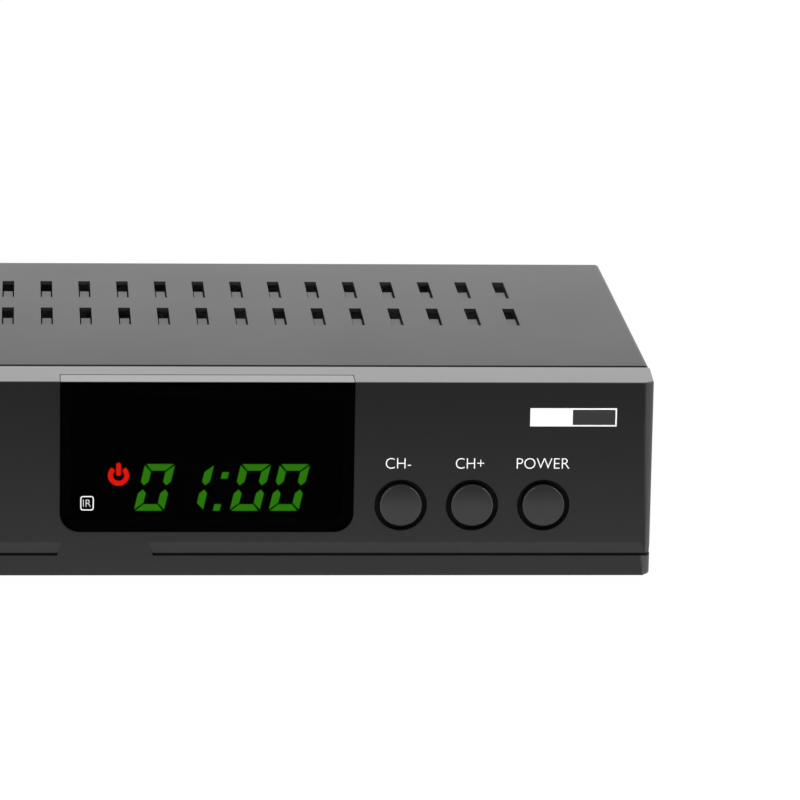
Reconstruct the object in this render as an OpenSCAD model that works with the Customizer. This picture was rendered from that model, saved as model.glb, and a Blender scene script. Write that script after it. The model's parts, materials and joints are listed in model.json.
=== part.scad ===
// Terrestrial television receiver: a steel case with a plastic front, its boards, sockets and three buttons.
// X runs to the right, Y to the rear and Z up. The origin is on the table, under the middle of the box.
// Inside the modules, Y starts at the bezel's face and Z at the bezel's underside.

/* [Case] */
// Width of the front bezel at its face
case_w = 210.5; // [204:0.5:240]
// Height of the front bezel
case_h = 38.5; // [38:0.5:46]
// Depth of the bezel, from its face to the cover
bezel_d = 13.5; // [12.5:0.5:16]
// Depth of the top cover, from the bezel to the rear
cover_d = 99; // [97:1:120]
// How far each side of the bezel widens from its face to the cover, which is flush with it
bezel_flare = 0.5; // [0:0.1:0.8]
// How far the bezel reaches down past the steel
bezel_step = 0.4; // [0.2:0.1:0.8]
// Gap between the bezel and the cover's front edge
seam_gap = 0.9; // [0.3:0.1:1.2]
// Thickness of the steel sheet
sheet_t = 0.8; // [0.6:0.1:1]
// Slack between the cover, the tray and the bezel's collar
sheet_gap = 0.3; // [0.2:0.05:0.4]
// Inner radius of the cover's upper bends
bend_r = 0.2; // [0.1:0.1:2]
// Height of the side flanges of the tray
flange_h = 14; // [12:1:18]
// Height of the cover's flange over the rear panel
rear_flange_h = 7; // [6:0.5:8]

/* [Bezel] */
// Wall of the bezel
bezel_wall = 2.4; // [2.2:0.1:2.8]
// Radius of the bezel's upright front corners
corner_r = 2.2; // [1:0.1:4]
// Radius of the edges above and below the bezel's face
lip_r = 0.25; // [0.1:0.05:1]
// Wall of the collar that slips into the steel case
collar_t = 1.4; // [1.2:0.1:1.8]
// Length of that collar
collar_l = 6; // [5:0.5:8]
// Height of the groove above the underside
groove_z = 4; // [3.5:0.1:5]
// Width of the groove
groove_w = 0.5; // [0.4:0.1:0.8]
// Depth of the groove
groove_depth = 0.9; // [0.7:0.1:1.1]
// Height of the sloping band above the groove
band_h = 2.2; // [1.6:0.1:3]
// Depth of the band at its lower edge
band_depth = 0.3; // [0.2:0.05:0.5]
// Length of the plain stretch in the middle, at the band's top
groove_break = 16.6; // [10:0.2:24]
// Extra length of the plain stretch at the groove's floor
groove_break_slant = 2; // [1:0.1:3]
// Place of that stretch's middle, to the right of the box's middle
groove_break_x = -0.7; // [-2:0.1:2]

/* [Lens] */
// Width of the lens
lens_w = 56.6; // [54:0.1:60]
// Distance of the lens's middle from the bezel's right side
lens_in = 86.35; // [84:0.05:88]
// Height of the lens's lower edge
lens_z = 8.8; // [7.5:0.1:9.2]
// Thickness of the lens at the face
lens_t = 1.6; // [1.2:0.1:1.8]
// Thickness of the lens on top
lens_top_t = 1.2; // [0.8:0.1:1.4]
// Reach of the lens over the bezel's top
lens_top_d = 5.9; // [4:0.1:8]
// Gap behind the lens on top
lens_top_gap = 0.35; // [0.2:0.05:0.5]
// How far the lens stands proud of the bezel's face
lens_proud = 0.15; // [0.05:0.05:0.3]
// Radius of the lens's lower corners
lens_r = 3.7; // [2:0.1:5]
// Slack around the lens
lens_gap = 0.1; // [0.05:0.05:0.2]
// Width of the ledge that the lens is glued to
lens_ledge = 2; // [1.5:0.1:2.2]

/* [Buttons] */
// Distance of the channel down button's middle from the bezel's right side
button_in = 48.85; // [48:0.05:49.5]
// Distance between buttons
button_pitch = 13.85; // [13:0.05:14]
// Height of the buttons
button_z = 14.1; // [13.5:0.1:15]
// Diameter of a button's cap
cap_d = 8.1; // [7:0.1:8.4]
// Diameter of the well round a cap
well_d = 10.2; // [9.4:0.1:10.6]
// How far a cap stands out of the bezel
cap_proud = 0.5; // [0.4:0.1:1.6]
// Diameter of the flange that keeps a button in
button_flange_d = 11.6; // [11.2:0.1:12]
// Thickness of that flange
button_flange_t = 1.2; // [1:0.1:1.4]
// Slack between the flange and its guide, on the radius
button_gap = 0.1; // [0.05:0.01:0.1]
// Travel of a button
button_travel = 0.3; // [0.2:0.05:0.3]

/* [Display] */
// Height of a digit
digit_h = 9.4; // [9:0.1:10]
// Width of a digit, before its slant
digit_w = 5.9; // [5:0.1:6.6]
// Height of a level segment
segment_t = 1.4; // [1:0.1:1.7]
// Width of an upright segment
segment_w = 1.6; // [1:0.1:1.8]
// Gap between segments
segment_gap = 0.3; // [0.1:0.05:0.4]
// Distance of an upright segment's tip from the digit's middle
segment_waist = 0.35; // [0.1:0.05:0.5]
// Distance between digits
digit_pitch = 7.55; // [7.4:0.05:8]
// Extra room for the colon in the middle
colon_room = 3.45; // [3:0.05:4]
// Slant of the digits in degrees
digit_slant = 13; // [0:1:15]
// Height of the colon's upper dot above the digits' middle
colon_rise = 2.4; // [1.5:0.1:3]
// Height of the digits' middle
digit_z = 16.7; // [16:0.05:19]
// Distance of the display's middle to the right of the lens's middle
display_in = 3; // [2.5:0.05:4]
// Height of the display module
module_h = 14.5; // [13:0.1:15]
// Depth of the display module
module_d = 7.5; // [6.5:0.1:8]
// Distance of the standby lamp to the left of the lens's middle
lamp_in = 17.1; // [17.1:0.05:20]
// Height of the standby lamp
lamp_z = 19.85; // [16:0.05:24]
// Distance of the infrared receiver to the left of the lens's middle
ir_in = 23.15; // [22.8:0.05:23.2]
// Height of the infrared receiver
ir_z = 14.5; // [14:0.1:15]

/* [Louvres] */
// Louvres in a row
vent_count = 22; // [8:1:24]
// Distance between louvres
vent_pitch = 7.85; // [7:0.05:8.3]
// Width of a louvre
vent_w = 2.4; // [1.6:0.1:3]
// Length of a louvre
vent_l = 16; // [12:0.5:20]
// Slack at each side of a louvre's tongue
lance_gap = 0.25; // [0.1:0.05:0.4]
// Drop of a louvre's tongue
vent_drop = 0.8; // [0.6:0.1:1.2]
// Length of that tongue, open behind its end
tongue_l = 9.4; // [6:0.2:11]
// Distance from the bezel to the middle of the front row
vent_y = 46.2; // [30:0.1:50]
// Distance between the two rows
vent_row_pitch = 26.2; // [24:0.1:32]
// Slots in each side wall
side_slots = 12; // [6:1:14]
// Height of a side slot
side_slot_h = 12; // [8:0.5:14]

/* [Feet] */
// Clear height under the bezel
foot_h = 2; // [1.5:0.1:3]
// Diameter of a foot
foot_d = 12; // [9:0.5:14]
// Distance of a foot from the steel's edge at the side
foot_x_in = 24; // [20:1:30]
// Distance of a foot from the steel's edge at the front and rear
foot_y_in = 16; // [14:0.5:20]

/* [Boards] */
// Thickness of the boards
board_t = 1.6; // [1.2:0.1:1.8]
// Height of the standoffs
standoff_h = 5; // [4:0.5:6]
// Diameter of the standoffs
standoff_d = 6; // [5:0.2:7]
// Depth of the main board
main_d = 78; // [76:1:80]
// Width of the supply board
supply_w = 68; // [66:1:70]
// Depth of the supply board
supply_d = 74; // [72:1:78]
// Distance between the two boards
boards_apart = 13.4; // [13:0.2:16]
// Distance from the case's side wall to a board
board_side_gap = 4; // [3:0.5:5]
// Distance of a board's screws from its edges
screw_in = 4; // [3.5:0.5:4.5]
// Depth of the tuner can
can_d = 28; // [24:1:32]
// Height of the tuner can
can_h = 14; // [13.6:0.2:15]
// Distance from the bezel's face to the front board
front_board_y = 11.5; // [11.2:0.1:12]
// Distance of the front board's left end from the bezel's side
front_board_left_in = 19; // [18:0.5:20]
// Distance of the front board's right end from the bezel's side
front_board_right_in = 6.4; // [6:0.2:7]

/* [Parts on the boards] */
// Width of the processor
cpu_w = 19; // [15:1:22]
// Thickness of the processor
cpu_t = 1.6; // [1:0.1:2]
// Width of the heatsink
sink_w = 24; // [20:1:28]
// Height of the heatsink
sink_h = 9; // [6:1:14]
// Thickness of the heatsink's base
sink_base = 2; // [1.5:0.1:3]
// Distance between the heatsink's fins
fin_pitch = 3.6; // [3:0.1:4]
// Thickness of a fin
fin_t = 1; // [0.8:0.1:1.4]
// Width of a memory chip
memory_w = 14; // [10:1:15]
// Depth of a memory chip
memory_d = 10; // [8:1:11]
// Thickness of a memory chip
memory_t = 1.1; // [0.9:0.1:1.4]
// Length of the crystal
crystal_l = 11; // [8:0.5:12]
// Width of the crystal
crystal_w = 4.6; // [4:0.1:5]
// Height of the crystal
crystal_h = 3.4; // [2.5:0.1:4]
// Diameter of the small capacitors at the front of the main board
small_can_d = 6.3; // [5:0.1:7]
// Height of those capacitors
small_can_h = 11; // [7:1:12]
// Diameter of the capacitors at the right of the main board
side_can_d = 8; // [6:0.5:9]
// Height of those capacitors
side_can_h = 12; // [8:1:16]
// Diameter of the supply's bulk capacitor
bulk_d = 16; // [12:1:16]
// Height of the bulk capacitor
bulk_h = 24; // [16:1:26]
// Diameter of the supply's output capacitors
output_can_d = 8; // [6:0.5:8]
// Height of those capacitors
output_can_h = 15; // [10:1:18]
// Width of the transformer's core
core_w = 20; // [18:1:21]
// Depth of the core
core_d = 10; // [8:0.5:11]
// Height of the core
core_h = 17; // [14:1:20]
// Width of the core's outer legs
core_leg = 2.5; // [2:0.1:3]
// Height of the bars that join the legs
core_bar = 3; // [2:0.1:4]
// Width of the core's middle leg
core_mid = 5; // [4:0.2:6]
// How far the winding stands out of the core
winding_out = 3; // [2:0.1:3]
// Thickness of the bobbin's base
bobbin_base = 2; // [1.5:0.1:3]
// Length of the fuse
fuse_l = 18; // [16:1:20]
// Diameter of the fuse
fuse_d = 5; // [4:0.2:5.4]
// Height of the fuse's middle
fuse_rise = 3.4; // [3:0.1:5]
// Width of the line choke
choke_w = 14; // [12:0.5:15]
// Depth of the line choke
choke_d = 16; // [12:0.5:17]
// Height of the line choke
choke_h = 12.2; // [10:0.2:16]
// Width of a heat spreader
spreader_w = 20; // [14:1:22]
// Height of a heat spreader
spreader_h = 20; // [14:1:24]
// Thickness of a heat spreader
spreader_t = 1.6; // [1:0.1:2]
// Width of a switching transistor
transistor_w = 10; // [8:0.5:11]
// Thickness of a switching transistor
transistor_t = 4.4; // [3.5:0.1:5]

/* [Sockets] */
// How far the aerial sockets stand out of the rear
aerial_l = 10; // [9.5:0.5:12]
// Bore of the aerial socket
aerial_bore_d = 9.6; // [9.5:0.02:9.7]
// Outer diameter of the loop-through socket
loop_d = 9.5; // [9.4:0.02:9.5]
// Wall of both sockets
socket_wall = 0.7; // [0.6:0.1:0.9]
// Distance between the two aerial sockets
aerial_pitch = 18; // [16:0.5:19]
// Height of the rear sockets' middles above the boards
socket_z = 7.4; // [7:0.1:7.6]
// Outer diameter of the audio and video barrels
barrel_d = 8.3; // [8.2:0.05:8.4]
// How far those barrels stand out of the rear
barrel_l = 8.5; // [8:0.5:10]
// Distance between those barrels
barrel_pitch = 14; // [13:0.5:14]
// Inner width of the digital video socket
hdmi_w = 14; // [13.9:0.1:14.2]
// Inner height of the digital video socket
hdmi_h = 4.6; // [4.5:0.1:4.8]
// Inner width of the front USB socket
usb_w = 12.5; // [12.4:0.1:12.8]
// Inner height of the front USB socket
usb_h = 5.1; // [5:0.1:5.3]
// Wall of the front USB socket
usb_wall = 0.4; // [0.3:0.1:0.6]
// Distance of the front USB socket's middle from the bezel's side
usb_in = 35; // [34:0.5:38]
// Distance between the mains pins
mains_pitch = 8.6; // [8:0.1:9]

/* [Screws] */
// Shank diameter of the screws
screw_d = 2.9; // [2.5:0.1:3]
// Slack round a screw in its pilot hole, on the radius
pilot_gap = 0.05; // [0.03:0.01:0.1]
// Slack round a screw in its clearance hole, on the radius
clear_gap = 0.25; // [0.15:0.05:0.4]
// Head diameter of the screws
head_d = 5.6; // [5:0.1:6]
// Head height of the screws
head_h = 1.7; // [1.4:0.1:1.8]
// Length of the cover's screws
cover_screw_l = 6; // [5:0.5:8]
// Length of the boards' screws
board_screw_l = 5; // [4:0.5:6]
// Length of the front board's screws
front_board_screw_l = 6; // [5:0.5:6]
// Length of the bezel's screws
bezel_screw_l = 6.5; // [5:0.5:7]

/* [Hidden] */
$fn = 48;

eps = 0.01; // overlap that joins solids of one piece
case_d = bezel_d + cover_d;
front_y = (cap_proud - case_d - aerial_l) / 2; // the bezel's face, so that the whole is centred front to rear

// Steel: the cover's outer faces, then the tray inside it
cover_w = case_w + 2 * bezel_flare;
cover_top = case_h;
cover_y = bezel_d + seam_gap;
tray_w = cover_w - 2 * (sheet_t + sheet_gap);
tray_z = bezel_step;
floor_z = tray_z + sheet_t;
panel_y = case_d - sheet_t - sheet_gap; // outer face of the rear panel
panel_in = panel_y - sheet_t;
panel_top = cover_top - sheet_t - sheet_gap;
screw_boss = screw_d + 2 * pilot_gap;
screw_way = screw_d + 2 * clear_gap;
flange_y = bezel_d + collar_l + 4; // where the tray's side flanges begin
side_screw_z = tray_z + flange_h - 6;
side_screw_ys = [flange_y + 8, panel_in - 10];
rear_screw_xs = [-cover_w / 2 + 24, 0, cover_w / 2 - 24];
rear_screw_z = cover_top - rear_flange_h / 2 - sheet_t / 2;

// Bezel collar, just inside the steel
collar_w = tray_w;
collar_low = floor_z + sheet_gap;
collar_top = panel_top;
collar_end = bezel_d + collar_l;
bezel_screw_in = 30;
bezel_screw_x = collar_w / 2 - bezel_screw_in;
bezel_screw_y = collar_end - 2;
bezel_boss_h = 6;
bezel_boss_d = 6;

// Buttons, their switches and the front board
button_xs = [for (i = [0:2]) case_w / 2 - button_in + i * button_pitch];
guide_d = button_flange_d + 2 * button_gap;
guide_t = 3.5;
switch_w = 6;
switch_t = 3.5;
switch_y = front_board_y - switch_t;
plunger_d = 3.5;
plunger_gap = 0.05;
plunger_front = switch_y - 1.5;
plunger_back = switch_y + 1.8;
dome_h = 0.5;
dome_t = 0.12;
dome_y = plunger_back + button_travel + 0.3;
flange_front = bezel_wall + 0.1;
front_board_low = collar_low + collar_t + 1;
front_board_top = collar_top - collar_t - 1.2;
front_board_left = front_board_left_in - case_w / 2;
front_board_right = case_w / 2 - front_board_right_in;
front_boss_d = 6;
front_boss_in = 4.2;
front_pilot_y = front_board_y + board_t - front_board_screw_l - 0.6;
lens_x = case_w / 2 - lens_in;
lens_left = lens_x - lens_w / 2;
front_boss_xs = [front_board_left + front_boss_in, lens_left - 5.6, front_board_right - front_boss_in];
boss_low_z = front_board_low + front_boss_in;
boss_high_z = front_board_top - front_boss_in;
front_boss_spots = [for (z = [boss_low_z, boss_high_z]) for (x = front_boss_xs) [x, z]];

// Display
window_h = case_h - bezel_wall - 1 - lens_z - lens_ledge;
display_x = lens_x + display_in;
lamp_x = lens_x - lamp_in;
lamp_d = 3;
lamp_l = 7;
ir_x = lens_x - ir_in;
ir_w = 6;
ir_h = 7;
ir_d = 4.5;
ir_dome_d = 4.6;
module_w = 3 * digit_pitch + colon_room + digit_w + 3.8;
module_y = front_board_y - module_d;
segment_depth = 0.4;

// Main board, supply board and what stands on them
board_z = floor_z + standoff_h;
board_top = board_z + board_t;
boards_rear = panel_in - 0.6;
supply_x = tray_w / 2 - sheet_t - board_side_gap - supply_w;
supply_y = boards_rear - supply_d;
main_x = -tray_w / 2 + sheet_t + board_side_gap;
main_y = boards_rear - main_d;
main_w = supply_x - boards_apart - main_x;
socket_axis_z = board_top + socket_z;
main_spots = [
    for (x = [screw_in, main_w - screw_in]) for (y = [screw_in, main_d - can_d - 6]) [main_x + x, main_y + y]
];
supply_spots = [
    for (x = [screw_in, supply_w - screw_in]) for (y = [screw_in, supply_d - screw_in - 17])
        [supply_x + x, supply_y + y]
];

// Tuner
can_wall = 0.5;
can_w = 2 * aerial_pitch + 6;
can_x = main_x + 1.5;
can_y = boards_rear - 0.4 - can_d;
aerial_x = can_x + can_w / 2 - aerial_pitch / 2;
loop_x = aerial_x + aerial_pitch;
aerial_end = case_d + aerial_l;
aerial_d = aerial_bore_d + 2 * socket_wall;
flange_t = 0.8; // collar of a socket against the can
socket_root = can_y + can_d;
socket_floor = socket_root + flange_t;
loop_root_d = loop_d + 2.6;

// Rear sockets
av_x = main_x + main_w - 8 - barrel_pitch;
av_w = 3 * barrel_pitch;
av_d = 13;
av_y = boards_rear - av_d;
insert_d = 11.4;
insert_end = case_d + 1.2;
barrel_root_d = barrel_d + 0.8;
hdmi_x = (loop_x + av_x - barrel_pitch) / 2 + 1;
hdmi_wall = 0.4;
hdmi_l = 11.5;
hdmi_end = case_d + 0.6;
inlet_w = 22;
inlet_h = 13.4;
inlet_l = 17;
inlet_x = supply_x + supply_w - 18;
inlet_z = board_top + inlet_h / 2;
inlet_end = case_d + 1.5;
inlet_depth = 13.5;
inlet_floor = inlet_end - inlet_depth;
mains_r = 4.1;
mains_pin_d = 2.4;
mains_pin_l = 10.2;
hole_gap = 0.3; // slack round the sockets in the rear panel

// Processor, heatsink and memory in a group in the middle of the main board
memory_gap = 4;
small_can_y = main_y + small_can_d * 1.5;
cpu = [main_x + main_w * 0.52, small_can_y + small_can_d / 2 + 1.4 + memory_d + memory_gap / 2];
memory_x = cpu[0] - sink_w / 2 - 6 - memory_w / 2;
flash_w = 5;
flash_d = 6;
small_cans = [for (i = [0:3]) [main_x + main_w * 0.1 + i * small_can_d * 1.6, small_can_y]];
side_cans = [for (y = [0.18, 0.5]) [main_x + main_w * 0.88, main_y + main_d * y]];

// Front USB socket
usb_x = usb_in - case_w / 2;
usb_gap = 0.2;

// Ribbon to the front board and wires to the supply board
ribbon_x = main_x + main_w / 2;
ribbon_w = 16;
ribbon_t = 0.3;
ribbon_rise = 4;
ribbon_z = board_top + 2.4;
connector_d = 5;
ribbon_front = front_board_y + board_t + 4;
ribbon_back = main_y + 1;
wires_x = [main_x + main_w - connector_d * 0.6, supply_x + connector_d * 0.8];
wires_in = 54;
wires_y = boards_rear - wires_in;
wire_pitch = 2.5;
wire_d = 1.4;

// Supply board parts, placed by shares of the board
function on_supply(x, y) = [supply_x + supply_w * x, supply_y + supply_d * y];
transformer = on_supply(0.353, 0.27);
fuse = on_supply(0.647, 0.703);
choke = on_supply(0.853, 0.514);
bulk_spot = on_supply(0.574, 0.473);
output_spots = [on_supply(0.103, 0.446), on_supply(0.103, 0.581)];
large_output_spot = on_supply(0.265, 0.595);
spreaders = [on_supply(0.235, 0.784), on_supply(0.735, 0.243)];
fuse_clip_l = 4;
fuse_clip_w = 3;
coil_r = 3.2;
coil_bore_r = 1.2;
transistor_h = 10;
transistor_rise = 4;

// Slots
side_slot_w = 2.4;
side_slot_pitch = 5.5;
side_slots_y = cover_y + (cover_d - (side_slots - 1) * side_slot_pitch) / 2;
side_slot_z = case_h / 2 + 4;
floor_slot_w = 2.4;
floor_slot_l = 24;
floor_slot_pitch = 6;
floor_slot_y = (main_y + boards_rear - 30) / 2;
floor_slot_xs = [for (i = [-3.5:3.5]) i * floor_slot_pitch - floor_slot_w / 2];
panel_slot_w = 1.6;
panel_slot_h = 14;
panel_slot_pitch = 3.6;

module at_case() {
    translate([0, front_y, foot_h]) children();
}

// Flat shapes drawn in X and Z, standing across Y from y0 to y1
module across(y0, y1) {
    translate([0, y1, 0]) rotate([90, 0, 0]) linear_extrude(y1 - y0) children();
}

// A round bar along Y from y0 to y1
module bar(x, z, d, y0, y1) {
    translate([x, y0, z]) rotate([-90, 0, 0]) cylinder(d = d, h = y1 - y0);
}

// A block from one corner to the other
module block(a, b) {
    translate(a) cube(b - a);
}

// A rectangle with round corners, lower left corner at the origin
module round_rect(w, h, r) {
    translate([r, 0]) square([w - 2 * r, h]);
    translate([0, r]) square([w, h - 2 * r]);
    for (x = [r, w - r]) for (y = [r, h - r]) translate([x, y]) circle(r);
}

// A slot with round ends, lower left corner at the origin
module slot_shape(w, l) {
    translate([0, w / 2]) square([w, l - w]);
    for (y = [w / 2, l - w / 2]) translate([w / 2, y]) circle(d = w);
}

// A pan head screw along +Z with its head's seat at the origin and its head above
module screw(length) {
    cross_w = 0.6;
    cross_l = head_d * 0.56;
    cross_depth = 0.9;
    difference() {
        rotate_extrude() polygon([
            [0, -length], [screw_d * 0.2, -length], [screw_d / 2, -length + 1], [screw_d / 2, 0],
            [head_d / 2, 0], [head_d / 2, head_h * 0.5], [head_d * 0.42, head_h * 0.8],
            [head_d * 0.28, head_h], [0, head_h]
        ]);
        for (a = [0, 90]) rotate(a)
            translate([-cross_l / 2, -cross_w / 2, head_h - cross_depth]) cube([cross_l, cross_w, 2]);
    }
}

// A flat arch: square corners below, round corners of radius r above
module arch_shape(w, low, top, r) {
    translate([-w / 2, low]) square([w, top - r - low]);
    translate([-w / 2 + r, low]) square([w - 2 * r, top - low]);
    for (s = [-1, 1]) translate([s * (w / 2 - r), top - r]) circle(r);
}

module base_tray() color([0.66, 0.67, 0.68]) at_case() difference() {
    union() {
        block([-tray_w / 2, cover_y, tray_z], [tray_w / 2, panel_y, floor_z]);
        for (s = [-1, 1]) translate([s * (tray_w / 2 - sheet_t / 2), 0, 0])
            block([-sheet_t / 2, flange_y, tray_z], [sheet_t / 2, panel_y, tray_z + flange_h]);
        across(panel_in, panel_y) arch_shape(tray_w, tray_z, panel_top, bend_r);
        for (p = concat(main_spots, supply_spots))
            translate([p[0], p[1], floor_z - eps]) cylinder(d = standoff_d, h = standoff_h + eps);
    }
    for (p = concat(main_spots, supply_spots))
        translate([p[0], p[1], tray_z - 1]) cylinder(d = screw_boss, h = standoff_h + sheet_t + 2);
    for (s = [-1, 1]) translate([s * bezel_screw_x, bezel_screw_y, tray_z - 1])
        cylinder(d = screw_way, h = sheet_t + 2);
    for (s = [-1, 1]) for (y = side_screw_ys)
        translate([s * tray_w / 2, y, side_screw_z]) rotate([0, 90, 0])
            cylinder(d = screw_boss, h = 4 * sheet_t, center = true);
    for (x = rear_screw_xs) bar(x, rear_screw_z, screw_boss, panel_in - 1, panel_y + 1);
    floor_slots();
    panel_holes();
}

// Cooling slots in the floor, under the two boards
module floor_slots() {
    for (middle = [main_x + main_w / 2, supply_x + supply_w / 2]) for (x = floor_slot_xs)
        translate([middle + x, floor_slot_y, tray_z - 1])
            linear_extrude(sheet_t + 2) slot_shape(floor_slot_w, floor_slot_l);
}

module panel_holes() {
    y0 = panel_in - 1;
    y1 = panel_y + 1;
    bar(aerial_x, socket_axis_z, aerial_d + 2 * hole_gap, y0, y1);
    bar(loop_x, socket_axis_z, loop_root_d + 2 * hole_gap, y0, y1);
    for (i = [-1:1]) bar(av_x + i * barrel_pitch, socket_axis_z, insert_d + 2 * hole_gap, y0, y1);
    block([hdmi_x - hdmi_w / 2 - hdmi_wall - hole_gap, y0, board_top - hole_gap],
        [hdmi_x + hdmi_w / 2 + hdmi_wall + hole_gap, y1, board_top + hdmi_h + 2 * hdmi_wall + hole_gap]);
    block([inlet_x - inlet_w / 2 - hole_gap, y0, board_top - hole_gap],
        [inlet_x + inlet_w / 2 + hole_gap, y1, board_top + inlet_h + hole_gap]);
    for (i = [0:8]) translate([supply_x + 4 + i * panel_slot_pitch, y0, board_top + 2])
        cube([panel_slot_w, y1 - y0, panel_slot_h]);
}

module top_cover() color([0.53, 0.54, 0.55]) at_case() {
    difference() {
        union() {
            difference() {
                across(cover_y, case_d) cover_outline(0);
                across(cover_y - 1, case_d + 1) cover_outline(sheet_t);
            }
            block([-cover_w / 2 + sheet_t / 2, case_d - sheet_t, cover_top - rear_flange_h],
                [cover_w / 2 - sheet_t / 2, case_d, cover_top - sheet_t / 2]);
        }
        for (row = [0, 1]) for (i = [0:vent_count - 1]) vent_at(row, i)
            translate([-vent_w / 2, -vent_l / 2, -sheet_t - 1]) cube([vent_w, vent_l, sheet_t + 2]);
        for (s = [-1, 1]) for (i = [0:side_slots - 1])
            translate([s * cover_w / 2, side_slots_y + i * side_slot_pitch, side_slot_z])
                cube([4 * sheet_t, side_slot_w, side_slot_h], center = true);
        for (s = [-1, 1]) for (y = side_screw_ys)
            translate([s * cover_w / 2, y, side_screw_z]) rotate([0, 90, 0])
                cylinder(d = screw_way, h = 4 * sheet_t, center = true);
        for (x = rear_screw_xs) bar(x, rear_screw_z, screw_way, case_d - 2 * sheet_t, case_d + 1);
    }
    for (row = [0, 1]) for (i = [0:vent_count - 1]) vent_at(row, i) louvre_tongue();
}

// The cover's end view: an arch with rounded upper bends, open below
module cover_outline(inset) {
    low = inset > 0 ? tray_z - 1 : tray_z;
    arch_shape(cover_w - 2 * inset, low, cover_top - inset, bend_r + sheet_t - inset);
}

module vent_at(row, i) {
    x = (i - (vent_count - 1) / 2) * vent_pitch;
    translate([x, bezel_d + vent_y + row * vent_row_pitch, cover_top]) children();
}

// The tongue of a louvre: hinged at the slot's front end, it drops at once and then runs level
module louvre_tongue() {
    w = vent_w - 2 * lance_gap;
    y = -vent_l / 2;
    translate([-w / 2, 0, 0]) rotate([90, 0, 90]) linear_extrude(w) polygon([
        [y - sheet_t, 0], [y, 0], [y + vent_drop, -vent_drop], [y + tongue_l, -vent_drop],
        [y + tongue_l, -vent_drop - sheet_t], [y + vent_drop - sheet_t / 2, -vent_drop - sheet_t],
        [y - sheet_t / 2, -sheet_t], [y - sheet_t, -sheet_t]
    ]);
}

module front_bezel() color([0.19, 0.19, 0.2]) at_case() difference() {
    union() {
        difference() {
            bezel_body();
            block([-case_w / 2 + bezel_wall, bezel_wall, bezel_wall],
                [case_w / 2 - bezel_wall, bezel_d + 1, case_h - bezel_wall]);
        }
        difference() {
            across(bezel_d - 2, collar_end) arch_shape(collar_w, collar_low, collar_top, bend_r);
            block([-collar_w / 2 + collar_t, bezel_d - 3, collar_low + collar_t],
                [collar_w / 2 - collar_t, collar_end + 1, collar_top - collar_t]);
        }
        across(bezel_wall - eps, bezel_wall + guide_t)
            translate([button_xs[0] - guide_d / 2 - 1, button_z - guide_d / 2 - 1])
                round_rect(2 * button_pitch + guide_d + 2, guide_d + 2, guide_d / 2);
        for (p = front_boss_spots) bar(p[0], p[1], front_boss_d, bezel_wall - eps, front_board_y);
        for (s = [-1, 1]) translate([s * bezel_screw_x, bezel_screw_y, collar_low])
            cylinder(d = bezel_boss_d, h = bezel_boss_h);
    }
    across(-1, lens_t - lens_proud) lens_outline(lens_gap, 1);
    block([lens_left - lens_gap, -1, case_h - lens_top_t],
        [lens_x + lens_w / 2 + lens_gap, lens_top_d + lens_top_gap, case_h + 1]);
    across(0, bezel_wall + 1) translate([lens_left + lens_ledge, lens_z + lens_ledge])
        round_rect(lens_w - 2 * lens_ledge, window_h, lens_r - lens_ledge / 2);
    for (x = button_xs) {
        bar(x, button_z, well_d, -1, bezel_wall + 1);
        bar(x, button_z, guide_d, bezel_wall, bezel_wall + guide_t + 1);
    }
    for (s = [0, 1]) mirror([s, 0, 0]) groove(s == 0 ? groove_break_x : -groove_break_x);
    usb_block(usb_wall + usb_gap, -1, bezel_wall + 1);
    for (p = front_boss_spots) bar(p[0], p[1], screw_boss, front_pilot_y, front_board_y + 1);
    for (s = [-1, 1]) translate([s * bezel_screw_x, bezel_screw_y, collar_low - 1])
        cylinder(d = screw_boss, h = bezel_boss_h + 2);
}

// The bezel's outer shape: rounded upright corners, sides that widen to the rear, soft lips
module bezel_body() {
    intersection() {
        linear_extrude(case_h) {
            polygon([
                [corner_r - case_w / 2, 0], [case_w / 2 - corner_r, 0], [case_w / 2, corner_r],
                [cover_w / 2, bezel_d], [-cover_w / 2, bezel_d], [-case_w / 2, corner_r]
            ]);
            for (s = [-1, 1]) translate([s * (case_w / 2 - corner_r), corner_r]) circle(corner_r);
        }
        translate([-case_w, 0, 0]) rotate([90, 0, 90]) linear_extrude(2 * case_w)
            round_rect(2 * bezel_d, case_h, lip_r);
    }
}

// The lens seen from the front: round lower corners, square above, reaching over the bezel's top edge
module lens_outline(gap, over) {
    w = lens_w + 2 * gap;
    low = lens_z - gap;
    r = lens_r + gap;
    translate([lens_x - w / 2, low + r]) square([w, case_h + over - low - r]);
    translate([lens_x - w / 2 + r, low]) square([w - 2 * r, case_h + over - low]);
    for (s = [-1, 1]) translate([lens_x + s * (w / 2 - r), low + r]) circle(r);
}

// One half of the groove along the face: a sloping band falls to a narrow groove and runs round the corner
module groove(shift) {
    fall = 0.25; // lets the groove's floor drop out of sight
    floor_top = groove_z + groove_w;
    top = floor_top + band_h;
    band = [
        [-1, top], [0, top], [band_depth, floor_top], [groove_depth, floor_top],
        [groove_depth, groove_z - fall], [0, groove_z], [-1, groove_z]
    ];
    side_band = [for (p = band) [p[0] * 0.6, p[1]]];
    intersection() {
        union() {
            rotate([90, 0, 90]) linear_extrude(case_w) polygon(band);
            translate([case_w / 2, 0, 0]) mirror([1, 0, 0]) across(-1, corner_r * 2) polygon(side_band);
        }
        across(-2, bezel_d) polygon([
            [(groove_break + groove_break_slant) / 2 + shift, groove_z - fall], [case_w, groove_z - fall],
            [case_w, top], [groove_break / 2 + shift, top]
        ]);
    }
}

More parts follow.
